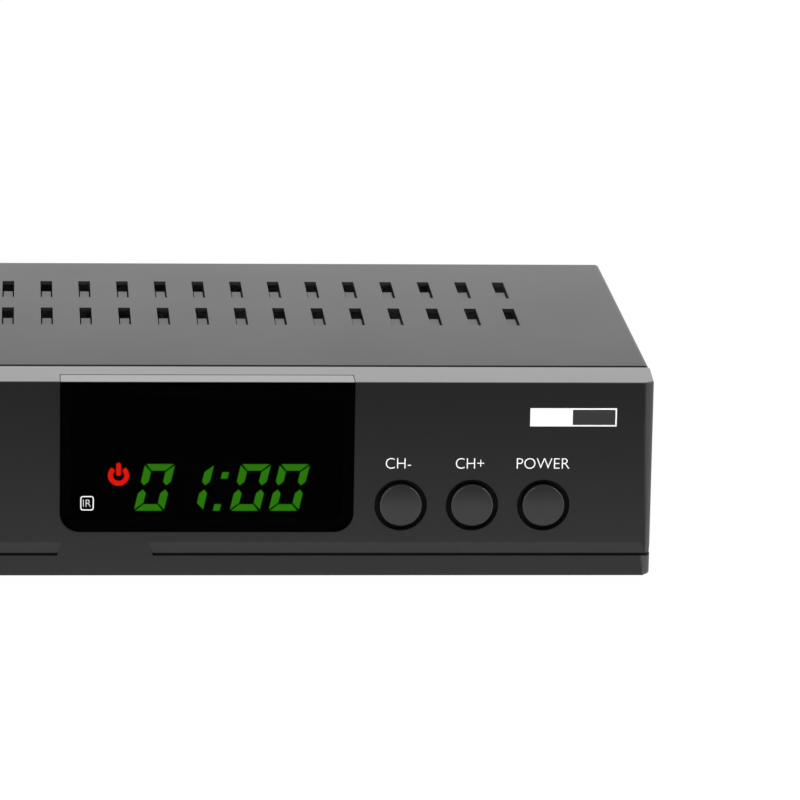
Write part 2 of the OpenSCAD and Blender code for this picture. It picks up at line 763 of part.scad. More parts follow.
module display_lens() color([0.04, 0.04, 0.05, 0.85]) at_case() intersection() {
    union() {
        across(-lens_proud, lens_t - lens_proud) lens_outline(0, 0);
        block([lens_left, -lens_proud, case_h - lens_top_t], [lens_x + lens_w / 2, lens_top_d, case_h]);
    }
    translate([-case_w / 2, -lens_proud, 0]) rotate([90, 0, 90]) linear_extrude(case_w)
        round_rect(2 * bezel_d, case_h, lip_r);
}

// A push button: a cap, a flange that the bezel holds back and a stem that meets its switch
module push_button(i) {
    r = 0.6;
    cap_r = cap_d / 2;
    translate([button_xs[i], 0, button_z]) rotate([90, 0, 0]) rotate_extrude() {
        polygon([
            [0, -plunger_front], [2, -plunger_front], [2, -flange_front - button_flange_t],
            [button_flange_d / 2, -flange_front - button_flange_t], [button_flange_d / 2, -flange_front],
            [cap_r, -flange_front], [cap_r, cap_proud - r], [cap_r - r, cap_proud], [0, cap_proud]
        ]);
        translate([cap_r - r, cap_proud - r]) circle(r);
    }
}

module channel_down_button() color([0.24, 0.24, 0.25]) at_case() push_button(0);
module channel_up_button() color([0.24, 0.24, 0.25]) at_case() push_button(1);
module power_button() color([0.24, 0.24, 0.25]) at_case() push_button(2);

module plunger(i) {
    bar(button_xs[i], button_z, plunger_d, plunger_front, plunger_back);
}

module channel_down_plunger() color("dimgray") at_case() plunger(0);
module channel_up_plunger() color("dimgray") at_case() plunger(1);
module power_plunger() color("dimgray") at_case() plunger(2);

// A thin domed spring disc under each plunger
module snap_domes() color("silver") at_case() for (x = button_xs) {
    a = plunger_d / 2 - 0.1;
    r = (a * a + dome_h * dome_h) / (2 * dome_h);
    reach = asin(a / r);
    steps = 6;
    in = r - dome_t;
    angles = [for (i = [0:steps]) reach * i / steps];
    back = [for (i = [0:steps]) angles[steps - i]];
    translate([x, dome_y + dome_h, button_z]) rotate([90, 0, 0]) rotate_extrude() polygon(concat(
        [for (t = angles) [r * sin(t), r * cos(t) - r + dome_h]],
        [for (t = back) [in * sin(t), max(0, in * cos(t) - r + dome_h)]]
    ));
}

module tact_switches() color([0.15, 0.15, 0.16]) at_case() for (x = button_xs) difference() {
    union() {
        block([x - switch_w / 2, switch_y, button_z - switch_w / 2],
            [x + switch_w / 2, front_board_y, button_z + switch_w / 2]);
        for (z = [-2.2, 2.2]) block([x - switch_w / 2 - 1, front_board_y - 0.6, button_z + z - 0.4],
            [x + switch_w / 2 + 1, front_board_y, button_z + z + 0.4]);
    }
    bar(x, button_z, plunger_d + 2 * plunger_gap, switch_y - 1, dome_y + dome_h);
}

module front_board() color([0.1, 0.35, 0.16]) at_case() difference() {
    block([front_board_left, front_board_y, front_board_low],
        [front_board_right, front_board_y + board_t, front_board_top]);
    for (p = front_boss_spots) bar(p[0], p[1], screw_way, front_board_y - 1, front_board_y + board_t + 1);
}

module display_module() color([0.06, 0.06, 0.07]) at_case()
    block([display_x - module_w / 2, module_y, digit_z - module_h / 2],
        [display_x + module_w / 2, front_board_y, digit_z + module_h / 2]);

function slanted(points) = [for (p = points) [p[0] + p[1] * tan(digit_slant), p[1]]];

// The segments of a digit, mitred where they meet: the top one, the upper right one and the middle one
top_segment = let (x = digit_w / 2, z = digit_h / 2, g = segment_gap / sqrt(2))
    [[g - x, z], [x - g, z], [x - segment_w, z - segment_t], [segment_w - x, z - segment_t]];
side_segment = let (x = digit_w / 2, z = digit_h / 2, g = segment_gap / sqrt(2), h = segment_w / 2)
    [[x, z - g], [x, h + segment_waist], [x - h, segment_waist], [x - 2 * h, h + segment_waist],
        [x - 2 * h, z - segment_t - g]];
middle_segment = let (x = digit_w / 2 - segment_w / 2 - segment_gap, h = segment_t / 2)
    [[-x, 0], [h - x, h], [x - h, h], [x, 0], [x - h, -h], [h - x, -h]];

function flipped(points, sx, sz) = [for (p = points) [p[0] * sx, p[1] * sz]];

module display_segments() color([0.2, 0.62, 0.1]) at_case() translate([0, 0, digit_z]) {
    for (i = [0:3]) translate([display_x + (i - 1.5) * digit_pitch + (i < 2 ? -1 : 1) * colon_room / 2, 0, 0])
        for (points = concat(
            [middle_segment], [for (s = [-1, 1]) flipped(top_segment, 1, s)],
            [for (sx = [-1, 1]) for (sz = [-1, 1]) flipped(side_segment, sx, sz)]
        )) across(module_y - segment_depth, module_y) polygon(slanted(points));
    for (rise = [colon_rise, (segment_t - digit_h) / 2]) across(module_y - segment_depth, module_y)
        translate([display_x, 0]) polygon(slanted([for (c = [[-1, -1], [1, -1], [1, 1], [-1, 1]])
            [c[0] * segment_t / 2, rise + c[1] * segment_t / 2]]));
}

module standby_lamp() color([0.85, 0.2, 0.15]) at_case() {
    bar(lamp_x, lamp_z, lamp_d, front_board_y - lamp_l, front_board_y - 2);
    translate([lamp_x, front_board_y - lamp_l, lamp_z]) sphere(d = lamp_d);
    bar(lamp_x, lamp_z, lamp_d + 0.5, front_board_y - 3, front_board_y);
}

module ir_receiver() color([0.07, 0.07, 0.09]) at_case() {
    block([ir_x - ir_w / 2, front_board_y - ir_d, ir_z - ir_h / 2],
        [ir_x + ir_w / 2, front_board_y, ir_z + ir_h / 2]);
    translate([ir_x, front_board_y - ir_d, ir_z]) sphere(d = ir_dome_d);
}

// The USB socket's outline, grown by some slack, from y0 to y1
module usb_block(grow, y0, y1) {
    block([usb_x - usb_w / 2 - grow, y0, button_z - usb_h / 2 - grow],
        [usb_x + usb_w / 2 + grow, y1, button_z + usb_h / 2 + grow]);
}

module usb_shell() color([0.78, 0.78, 0.8]) at_case() difference() {
    usb_block(usb_wall, 0.2, front_board_y);
    usb_block(0, 0, front_board_y + 1);
}

module usb_contacts() color([0.9, 0.9, 0.88]) at_case() {
    usb_block(0, front_board_y - 1.8, front_board_y);
    block([usb_x - usb_w / 2 + 0.7, 1.4, button_z + 0.3],
        [usb_x + usb_w / 2 - 0.7, front_board_y - 1.7, button_z + usb_h / 2 - 0.5]);
    for (i = [-1.5:1.5]) translate([usb_x + i * 2.3 - 0.5, 2, button_z + 0.15]) cube([1, 7, 0.2]);
}

module main_board() color([0.1, 0.35, 0.16]) at_case() difference() {
    block([main_x, main_y, board_z], [main_x + main_w, boards_rear, board_top]);
    for (p = main_spots) translate([p[0], p[1], board_z - 1]) cylinder(d = screw_way, h = board_t + 2);
}

// A block on a board: its middle, its width, depth and height, and how high it stands above the board
module on_board(spot, w, d, h, rise = 0) {
    translate([spot[0] - w / 2, spot[1] - d / 2, board_top + rise]) cube([w, d, h]);
}

module processor() color([0.08, 0.08, 0.09]) at_case() on_board(cpu, cpu_w, cpu_w, cpu_t);

module heatsink() color([0.2, 0.2, 0.22]) at_case() {
    fins = floor((sink_w - fin_t) / 2 / fin_pitch);
    on_board(cpu, sink_w, sink_w, sink_base, cpu_t);
    for (i = [-fins:fins])
        on_board(cpu + [i * fin_pitch, 0], fin_t, sink_w, sink_h - sink_base + eps, cpu_t + sink_base - eps);
}

module memory_chips() color([0.08, 0.08, 0.09]) at_case() {
    for (s = [-1, 1])
        on_board([memory_x, cpu[1] + s * (memory_d + memory_gap) / 2], memory_w, memory_d, memory_t);
    on_board([cpu[0] + sink_w / 2 + flash_w * 1.5, cpu[1]], flash_w, flash_d, 1.6);
}

module crystal() color([0.8, 0.8, 0.82]) at_case() translate([cpu[0] + sink_w * 0.7, cpu[1] + 10, board_top])
    linear_extrude(crystal_h) round_rect(crystal_l, crystal_w, crystal_w / 2 - 0.1);

// A round capacitor: a can with a groove rolled in near its foot
module can_capacitor(spot, d, h) {
    groove = 0.35;
    translate([spot[0], spot[1], board_top]) rotate_extrude() polygon([
        [0, 0], [d / 2, 0], [d / 2, 1.6], [d / 2 - groove, 2.1], [d / 2, 2.6],
        [d / 2, h - 0.5], [d / 2 - 0.5, h], [0, h]
    ]);
}

module board_capacitors() color([0.12, 0.14, 0.3]) at_case() {
    for (spot = small_cans) can_capacitor(spot, small_can_d, small_can_h);
    for (spot = side_cans) can_capacitor(spot, side_can_d, side_can_h);
}

module board_connectors() color([0.93, 0.92, 0.86]) at_case() {
    block([ribbon_x - ribbon_w / 2 - 1.5, front_board_y + board_t, ribbon_z - 2],
        [ribbon_x + ribbon_w / 2 + 1.5, ribbon_front, ribbon_z + 2]);
    block([ribbon_x - ribbon_w / 2 - 1.5, ribbon_back, board_top],
        [ribbon_x + ribbon_w / 2 + 1.5, ribbon_back + connector_d, board_top + 4.6]);
    for (x = wires_x) block([x - connector_d / 2, wires_y - 2 * wire_pitch - 1.5, board_top],
        [x + connector_d / 2, wires_y + 2 * wire_pitch + 1.5, board_top + connector_d]);
}

// A flat ribbon in a low arch from the front board's connector to the main board's
module front_ribbon() color([0.88, 0.88, 0.84]) at_case() {
    steps = 16;
    run = ribbon_back - ribbon_front;
    line = [
        for (i = [0:steps])
            [ribbon_front + run * i / steps, ribbon_z + ribbon_rise * pow(sin(180 * i / steps), 2)]
    ];
    translate([ribbon_x - ribbon_w / 2, 0, 0]) rotate([90, 0, 90]) linear_extrude(ribbon_w) polygon(concat(
        [for (p = line) [p[0], p[1] + ribbon_t / 2]],
        [for (i = [steps:-1:0]) [line[i][0], line[i][1] - ribbon_t / 2]]
    ));
}

// Five wires that arch from one board's connector to the other's
module supply_wires() color([0.75, 0.12, 0.1]) at_case() {
    middle = (wires_x[0] + wires_x[1]) / 2;
    arch_r = (wires_x[1] - wires_x[0]) / 2;
    for (i = [-2:2]) translate([middle, wires_y + i * wire_pitch, board_top + connector_d])
        rotate([90, 0, 0]) rotate_extrude(angle = 180) translate([arch_r, 0]) circle(d = wire_d);
}

module tuner_can() color([0.8, 0.8, 0.8]) at_case() difference() {
    block([can_x, can_y, board_top], [can_x + can_w, can_y + can_d, board_top + can_h]);
    block([can_x + can_wall, can_y + can_wall, board_top + can_wall],
        [can_x + can_w - can_wall, can_y + can_d - can_wall, board_top + can_h + 1]);
    for (x = [aerial_x, loop_x]) bar(x, socket_axis_z, 3, can_y + can_d - 2, can_y + can_d + 1);
}

module tuner_lid() color([0.84, 0.84, 0.84]) at_case() difference() {
    block([can_x, can_y, board_top + can_h], [can_x + can_w, can_y + can_d, board_top + can_h + can_wall]);
    for (share = [0.14:0.144:0.86])
        translate([can_x + can_w * share - 0.8, can_y + can_d / 2 - 4, board_top + can_h - 1])
            linear_extrude(3) slot_shape(1.6, 8);
}

module tuner_board() color([0.12, 0.3, 0.5]) at_case() {
    w = can_w - 2 * can_wall;
    d = can_d - 2 * can_wall;
    middle = [can_x + can_w / 2, can_y + can_d / 2];
    on_board(middle, w, d, 1.2, can_wall);
    for (s = [-1, 1]) on_board(middle + [s * can_w * 0.2, -2], 8, 8, 1.5, can_wall + 1.1);
}

module aerial_socket() color([0.82, 0.82, 0.8]) at_case() difference() {
    union() {
        bar(aerial_x, socket_axis_z, aerial_d, socket_root, aerial_end);
        bar(aerial_x, socket_axis_z, aerial_d + 2, socket_root, socket_root + flange_t);
    }
    bar(aerial_x, socket_axis_z, aerial_bore_d, socket_floor, aerial_end + 1);
}

module aerial_contact() color([0.86, 0.78, 0.5]) at_case() difference() {
    union() {
        bar(aerial_x, socket_axis_z, aerial_bore_d - 2 * pilot_gap, socket_floor, socket_floor + 2);
        bar(aerial_x, socket_axis_z, 4.4, socket_floor, aerial_end - 1.5);
    }
    bar(aerial_x, socket_axis_z, 2.4, socket_floor + 2, aerial_end);
}

module loop_socket() color([0.82, 0.82, 0.8]) at_case() difference() {
    union() {
        bar(loop_x, socket_axis_z, loop_d, socket_root, aerial_end);
        bar(loop_x, socket_axis_z, loop_root_d, socket_root, panel_y + 0.8);
    }
    bar(loop_x, socket_axis_z, loop_d - 2 * socket_wall, socket_floor, aerial_end + 1);
}

module loop_pin() color([0.86, 0.78, 0.5]) at_case() {
    bar(loop_x, socket_axis_z, loop_d - 2 * socket_wall - 2 * pilot_gap, socket_floor, socket_floor + 2);
    bar(loop_x, socket_axis_z, 2.35, socket_floor, aerial_end - 1);
}

module av_block() color([0.1, 0.1, 0.11]) at_case()
    block([av_x - av_w / 2, av_y, board_top], [av_x + av_w / 2, boards_rear, board_top + 2 * socket_z]);

module av_barrels() color([0.8, 0.8, 0.8]) at_case() for (i = [-1:1]) difference() {
    union() {
        bar(av_x + i * barrel_pitch, socket_axis_z, barrel_d, boards_rear, case_d + barrel_l);
        bar(av_x + i * barrel_pitch, socket_axis_z, barrel_root_d, boards_rear, insert_end);
    }
    bar(av_x + i * barrel_pitch, socket_axis_z, barrel_d - 1, boards_rear - 1, case_d + barrel_l + 1);
}

// Coloured plastic of one socket: a collar round its barrel and the insulator inside it
module insert(i) {
    x = av_x + i * barrel_pitch;
    difference() {
        bar(x, socket_axis_z, insert_d, boards_rear, insert_end);
        bar(x, socket_axis_z, barrel_root_d + 2 * pilot_gap, boards_rear - 1, insert_end + 1);
    }
    difference() {
        bar(x, socket_axis_z, barrel_d - 1 - 2 * pilot_gap, boards_rear, case_d + barrel_l - 1);
        bar(x, socket_axis_z, 3.3, boards_rear + 2, case_d + barrel_l);
    }
}

module video_insert() color([0.9, 0.75, 0.1]) at_case() insert(-1);
module left_audio_insert() color([0.92, 0.92, 0.9]) at_case() insert(0);
module right_audio_insert() color([0.75, 0.1, 0.1]) at_case() insert(1);

// The digital video socket from behind: chamfered lower corners
module hdmi_outline(grow) {
    w = hdmi_w / 2 + grow;
    translate([hdmi_x, board_top + hdmi_wall]) polygon([
        [-w, hdmi_h + grow], [w, hdmi_h + grow], [w, 1.6], [w - 2, -grow], [-w + 2, -grow], [-w, 1.6]
    ]);
}

module hdmi_shell() color([0.8, 0.8, 0.82]) at_case() difference() {
    across(hdmi_end - hdmi_l, hdmi_end) hdmi_outline(hdmi_wall);
    across(hdmi_end - hdmi_l - 1, hdmi_end + 1) hdmi_outline(0);
}

module hdmi_contacts() color([0.1, 0.1, 0.11]) at_case() {
    across(hdmi_end - hdmi_l, hdmi_end - hdmi_l + 2) hdmi_outline(0);
    z = board_top + hdmi_wall + hdmi_h / 2;
    block([hdmi_x - 5.8, hdmi_end - hdmi_l + 1, z - 0.4], [hdmi_x + 5.8, hdmi_end - 1.6, z + 0.6]);
}

module mains_inlet() color([0.07, 0.07, 0.08]) at_case() difference() {
    across(inlet_end - inlet_l, inlet_end)
        translate([inlet_x - inlet_w / 2, board_top]) round_rect(inlet_w, inlet_h, 1);
    across(inlet_floor, inlet_end + 1) translate([inlet_x, inlet_z]) {
        for (s = [-1, 1]) translate([s * mains_pitch / 2, 0]) circle(mains_r);
        square([mains_pitch, 2 * mains_r - 1.2], center = true);
    }
}

module mains_pins() color([0.84, 0.84, 0.82]) at_case() for (s = [-1, 1]) {
    r = mains_pin_d / 2;
    translate([inlet_x + s * mains_pitch / 2, inlet_floor, inlet_z]) rotate([-90, 0, 0]) rotate_extrude()
        polygon([[0, 0], [r, 0], [r, mains_pin_l - 0.7], [r - 0.5, mains_pin_l], [0, mains_pin_l]]);
}

module supply_board() color([0.72, 0.6, 0.36]) at_case() difference() {
    block([supply_x, supply_y, board_z], [supply_x + supply_w, boards_rear, board_top]);
    for (p = supply_spots) translate([p[0], p[1], board_z - 1]) cylinder(d = screw_way, h = board_t + 2);
}

module insulator_sheet() color([0.9, 0.9, 0.86]) at_case() difference() {
    block([supply_x - 1, supply_y - 1, floor_z], [supply_x + supply_w + 1, boards_rear - 0.5, floor_z + 0.4]);
    for (p = supply_spots)
        translate([p[0], p[1], floor_z - 1]) cylinder(d = standoff_d + 2 * clear_gap, h = 3);
    floor_slots();
}

module mains_fuse() color([0.82, 0.83, 0.85]) at_case() translate([fuse[0], fuse[1], board_top]) {
    clip_d = fuse_d + 0.4;
    translate([-fuse_l / 2, 0, fuse_rise]) rotate([0, 90, 0]) cylinder(d = fuse_d, h = fuse_l);
    for (s = [-1, 1]) translate([s * (fuse_l / 2 - 1), 0, 0]) {
        translate([-fuse_clip_l / 2, 0, fuse_rise]) rotate([0, 90, 0]) cylinder(d = clip_d, h = fuse_clip_l);
        block([-fuse_clip_w / 2, -3, 0], [fuse_clip_w / 2, 3, fuse_rise]);
    }
}

module line_choke() color([0.75, 0.42, 0.15]) at_case() {
    coil_z = choke_h - coil_r;
    on_board(choke, choke_w, choke_d, 1.5);
    on_board(choke, choke_w * 0.66, choke_d * 0.75, coil_z - 1.5, 0.5);
    for (s = [-1, 1])
        translate([choke[0] + s * choke_w * 0.257, choke[1], board_top + coil_z]) rotate([90, 0, 0])
            difference() {
                cylinder(r = coil_r, h = choke_d - 2, center = true);
                cylinder(r = coil_bore_r, h = choke_d, center = true);
            }
}

module bulk_capacitor() color([0.1, 0.1, 0.12]) at_case() can_capacitor(bulk_spot, bulk_d, bulk_h);

module transformer_core() color([0.2, 0.2, 0.21]) at_case() {
    window_w = core_w - 2 * core_leg;
    difference() {
        on_board(transformer, core_w, core_d, core_h, bobbin_base);
        on_board(transformer, window_w, core_d + 2, core_h - 2 * core_bar, bobbin_base + core_bar);
    }
    on_board(transformer, core_mid, core_d, core_h - 2, bobbin_base + 1);
}

module transformer_bobbin() color([0.9, 0.8, 0.25]) at_case() {
    window_w = core_w - 2 * core_leg;
    window_z = bobbin_base + core_bar;
    winding_d = core_d + 2 * winding_out;
    difference() {
        union() {
            on_board(transformer, core_w - 2, winding_d + 2, bobbin_base);
            on_board(transformer, window_w, winding_d, core_h - 2 * core_bar, window_z);
            for (s = [-1, 1]) on_board(transformer + [0, s * (core_d + winding_out) / 2],
                window_w, winding_out, window_z + 1);
        }
        on_board(transformer, core_mid, core_d, core_h, window_z - 0.1);
    }
}

module output_capacitors() color([0.1, 0.3, 0.16]) at_case() {
    for (spot = output_spots) can_capacitor(spot, output_can_d, output_can_h);
    can_capacitor(large_output_spot, output_can_d + 2, output_can_h + 1);
}

module heat_spreaders() color([0.75, 0.76, 0.78]) at_case() for (spot = spreaders) {
    on_board(spot + [0, spreader_t / 2], spreader_w, spreader_t, spreader_h);
    on_board(spot - [0, transistor_t / 2], transistor_w, transistor_t, transistor_h, transistor_rise);
}

module cover_screws() color([0.82, 0.82, 0.84]) at_case() {
    for (s = [-1, 1]) for (y = side_screw_ys)
        translate([s * cover_w / 2, y, side_screw_z]) rotate([0, s * 90, 0]) screw(cover_screw_l);
    for (x = rear_screw_xs) translate([x, case_d, rear_screw_z]) rotate([-90, 0, 0]) screw(cover_screw_l);
}

module board_screws() color([0.82, 0.82, 0.84]) at_case()
    for (p = concat(main_spots, supply_spots)) translate([p[0], p[1], board_top]) screw(board_screw_l);

module front_board_screws() color([0.82, 0.82, 0.84]) at_case()
    for (p = front_boss_spots)
        translate([p[0], front_board_y + board_t, p[1]]) rotate([-90, 0, 0]) screw(front_board_screw_l);

module bezel_screws() color([0.82, 0.82, 0.84]) at_case()
    for (s = [-1, 1])
        translate([s * bezel_screw_x, bezel_screw_y, tray_z]) rotate([180, 0, 0]) screw(bezel_screw_l);

module rubber_feet() color([0.1, 0.1, 0.1]) at_case()
    for (s = [-1, 1]) for (y = [cover_y + foot_y_in, case_d - foot_y_in])
        translate([s * (cover_w / 2 - foot_x_in), y, -foot_h]) rotate_extrude() polygon([
            [0, 0], [foot_d / 2 - 1, 0], [foot_d / 2 - 0.5, 0.4],
            [foot_d / 2, foot_h + tray_z], [0, foot_h + tray_z]
        ]);

base_tray();
top_cover();
front_bezel();
display_lens();
channel_down_button();
channel_up_button();
power_button();
channel_down_plunger();
channel_up_plunger();
power_plunger();
snap_domes();
tact_switches();
front_board();
display_module();
display_segments();
standby_lamp();
ir_receiver();
usb_shell();
usb_contacts();
main_board();
processor();
heatsink();
memory_chips();
crystal();
board_capacitors();
board_connectors();
tuner_can();
tuner_lid();
tuner_board();
aerial_socket();
aerial_contact();
loop_socket();
loop_pin();
av_block();
av_barrels();
video_insert();
left_audio_insert();
right_audio_insert();
hdmi_shell();
hdmi_contacts();
mains_inlet();
mains_pins();
supply_board();
insulator_sheet();
mains_fuse();
line_choke();
bulk_capacitor();
transformer_core();
transformer_bobbin();
output_capacitors();
heat_spreaders();
supply_wires();
front_ribbon();
cover_screws();
board_screws();
front_board_screws();
bezel_screws();
rubber_feet();
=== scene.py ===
"""Set-top receiver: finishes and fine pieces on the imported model, its stage and its camera.

Places are in millimetres: X from the middle of the case, Y back from the bezel's face, Z up from its underside.
"""

import json
import math

import bmesh
import bpy
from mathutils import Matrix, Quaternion, Vector

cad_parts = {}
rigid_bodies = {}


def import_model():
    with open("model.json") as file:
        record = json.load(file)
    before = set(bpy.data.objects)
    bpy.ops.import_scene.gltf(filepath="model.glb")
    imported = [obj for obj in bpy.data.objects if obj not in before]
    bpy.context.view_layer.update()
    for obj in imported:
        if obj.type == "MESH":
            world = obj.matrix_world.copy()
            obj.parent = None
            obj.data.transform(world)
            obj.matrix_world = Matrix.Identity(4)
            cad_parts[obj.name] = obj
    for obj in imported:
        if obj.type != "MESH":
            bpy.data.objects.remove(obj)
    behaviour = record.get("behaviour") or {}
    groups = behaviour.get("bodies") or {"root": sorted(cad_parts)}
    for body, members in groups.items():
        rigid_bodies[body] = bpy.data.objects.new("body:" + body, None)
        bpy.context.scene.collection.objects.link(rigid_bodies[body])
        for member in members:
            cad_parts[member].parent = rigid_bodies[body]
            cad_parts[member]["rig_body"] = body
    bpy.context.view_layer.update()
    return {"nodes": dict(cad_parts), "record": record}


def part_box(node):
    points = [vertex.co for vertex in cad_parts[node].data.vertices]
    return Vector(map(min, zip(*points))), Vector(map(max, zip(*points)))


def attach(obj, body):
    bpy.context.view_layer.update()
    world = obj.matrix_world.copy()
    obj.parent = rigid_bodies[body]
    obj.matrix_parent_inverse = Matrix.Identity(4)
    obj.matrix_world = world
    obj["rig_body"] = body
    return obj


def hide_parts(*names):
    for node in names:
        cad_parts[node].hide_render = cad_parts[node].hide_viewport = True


for left_over in list(bpy.data.objects):
    bpy.data.objects.remove(left_over)

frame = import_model()
nodes = frame["nodes"]

MM = 0.001
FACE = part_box("front_bezel")[0].y  # this and the underside are in the frame's metres
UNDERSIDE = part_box("front_bezel")[0].z
CASE_TALL = (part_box("front_bezel")[1].z - UNDERSIDE) / MM
INK = 0.03  # how far print stands out
BUTTON_FOOT = 12.05  # the lowest edge of the caps, above the floor
LENS_DENSITY = 0.74  # the share of light stopped at each face of the lens


def spot(x, y, z):
    """A point of the case, in metres."""
    return Vector((x * MM, FACE + y * MM, UNDERSIDE + z * MM))


def in_case(point):
    """A point in metres as one of the case, in millimetres."""
    return Vector((point.x, point.y - FACE, point.z - UNDERSIDE)) / MM


def reach(node):
    """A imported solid's lowest and highest corner, in the case's millimetres."""
    return [in_case(corner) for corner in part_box(node)]


# ---------------------------------------------------------------- shader sums


class Value:
    """One output of a node. Sums written with it add the Math nodes."""

    def __init__(self, finish, socket):
        self.finish = finish
        self.socket = socket

    def math(self, operation, *rest):
        return self.finish.sum(operation, self, *rest)

    def __add__(self, other):
        return self.finish.sum("ADD", self, other)

    __radd__ = __add__

    def __sub__(self, other):
        return self.finish.sum("SUBTRACT", self, other)

    def __rsub__(self, other):
        return self.finish.sum("SUBTRACT", other, self)

    def __mul__(self, other):
        return self.finish.sum("MULTIPLY", self, other)

    __rmul__ = __mul__

    def __truediv__(self, other):
        return self.finish.sum("DIVIDE", self, other)

    def __rtruediv__(self, other):
        return self.finish.sum("DIVIDE", other, self)

    def __gt__(self, other):
        return self.finish.sum("GREATER_THAN", self, other)

    def __lt__(self, other):
        return self.finish.sum("LESS_THAN", self, other)

    def __abs__(self):
        return self.finish.sum("ABSOLUTE", self)


MIX_SOCKETS = (0, 6, 7, 2)  # the Mix node's numbers for its factor, its two colours and the mixed one


class Finish:
    """The nodes of one material, or of the surroundings."""

    def __init__(self, tree):
        self.tree = tree
        tree.nodes.clear()

    def node(self, kind, settings=None, values=None, output=0):
        """Adds a node with its settings and inputs, and gives one of its outputs."""
        made = self.tree.nodes.new(kind)
        for name, setting in (settings or {}).items():
            setattr(made, name, setting)
        for name, value in (values or {}).items():
            if isinstance(value, Value):
                self.tree.links.new(value.socket, made.inputs[name])
            else:
                made.inputs[name].default_value = value
        return Value(self, made.outputs[output])

    def sum(self, operation, *terms):
        return self.node("ShaderNodeMath", {"operation": operation}, dict(enumerate(terms)))

    def place(self):
        """Object coordinates in millimetres."""
        where = self.node("ShaderNodeTexCoord", output="Object")
        return self.node("ShaderNodeVectorMath", {"operation": "SCALE"}, {0: where, "Scale": 1 / MM})

    def axis(self, name, vector):
        return self.node("ShaderNodeSeparateXYZ", None, {0: vector}, output="XYZ".index(name))

    def facing(self, name):
        """The surface's own direction along one axis, -1 to 1."""
        return self.axis(name, self.node("ShaderNodeNewGeometry", output="Normal"))

    def grain(self, size, detail=2, stretch=(1, 1, 1)):
        """Soft noise from 0 to 1 whose lumps are about so many millimetres across."""
        where = self.node("ShaderNodeVectorMath", {"operation": "MULTIPLY"}, {0: self.place(), 1: stretch})
        return self.node("ShaderNodeTexNoise", None, {"Vector": where, "Scale": 1 / size, "Detail": detail})

    def cell(self, size, seed=0.0):
        """One random number, from 0 to 1, for each cube of so many millimetres."""
        where = self.node("ShaderNodeVectorMath", {"operation": "SCALE"}, {0: self.place(), "Scale": 1 / size})
        whole = self.node("ShaderNodeVectorMath", {"operation": "FLOOR"}, {0: where})
        return self.node("ShaderNodeTexWhiteNoise", {"noise_dimensions": "4D"}, {"Vector": whole, "W": seed})

    def eased(self, value, low, high):
        """0 up to low, 1 from high on, and a soft slope between them."""
        return self.node(
            "ShaderNodeMapRange",
            {"interpolation_type": "SMOOTHSTEP"},
            {"Value": value, "From Min": low, "From Max": high},
        )

    def between(self, low, high, share):
        """A colour part of the way from one to another."""
        factor, colour_a, colour_b, colour_out = MIX_SOCKETS
        return self.node(
            "ShaderNodeMix",
            {"data_type": "RGBA", "clamp_factor": True},
            {factor: share, colour_a: shade(low), colour_b: shade(high)},
            output=colour_out,
        )

    def bump(self, height, depth):
        """Relief whose full height is so many millimetres deep."""
        return self.node("ShaderNodeBump", None, {"Height": height, "Distance": depth * MM, "Strength": 1.0})

    def skin(self, **values):
        """Gives the material its surface. A name's underscores stand for blanks."""
        named = {name.replace("_", " ").title().replace("Ior", "IOR"): value for name, value in values.items()}
        for name in ("Base Color", "Emission Color"):
            if name in named and not isinstance(named[name], Value):
                named[name] = shade(named[name])
        self.onto(self.node("ShaderNodeBsdfPrincipled", None, named))

    def onto(self, shader, kind="ShaderNodeOutputMaterial"):
        end = self.tree.nodes.new(kind)
        self.tree.links.new(shader.socket, end.inputs["Surface"])


def shade(colour):
    """A colour socket's value: a grey level or three parts, as light and not as screen values."""
    if isinstance(colour, Value):
        return colour
    if isinstance(colour, (int, float)):
        colour = (colour,) * 3
    return (*colour, 1)


def finish(name):
    """A new material and its still empty nodes."""
    made = bpy.data.materials.new(name)
    made.use_nodes = True
    return made, Finish(made.node_tree)


# ------------------------------------------------------------------ finishes


def moulded(name, low, high, roughness=0.45, grain=0.12, depth=0.006, specular=0.5):
    """Injection moulded plastic with a spark-eroded grain."""
    made, f = finish(name)
    clouds = f.grain(9)
    fine = f.grain(grain, 1)
    f.skin(
        base_color=f.between(low, high, clouds),
        roughness=(clouds - 0.5) * 0.08 + roughness,
        specular_ior_level=specular,
        normal=f.bump(fine, depth),
    )
    return made


def plated(name, low, high, roughness=0.28, brushed=(1, 1, 1)):
    """Plated or plain metal, dulled a little in patches."""
    made, f = finish(name)
    clouds = f.grain(3.5)
    fine = f.grain(0.25, 3, brushed)
    f.skin(
        base_color=f.between(low, high, clouds * 0.6 + fine * 0.4),
        roughness=fine * 0.14 + clouds * 0.1 + (roughness - 0.12),
        metallic=1.0,
        normal=f.bump(fine, 0.004),
    )
    return made


def spangled_sheet(name, low, high):
    """Zinc-coated steel: crystals of slightly different brightness, with fine rolling lines."""
    made, f = finish(name)
    crystals = f.node("ShaderNodeTexVoronoi", None, {"Vector": f.place(), "Scale": 0.22}, output="Color")
    crystal = f.axis("X", crystals)
    rolled = f.grain(0.3, 3, (0.06, 1, 1))
    f.skin(
        base_color=f.between(low, high, crystal * 0.7 + rolled * 0.3),
        roughness=crystal * 0.12 + rolled * 0.08 + 0.3,
        metallic=1.0,
        normal=f.bump(rolled, 0.003),
    )
    return made


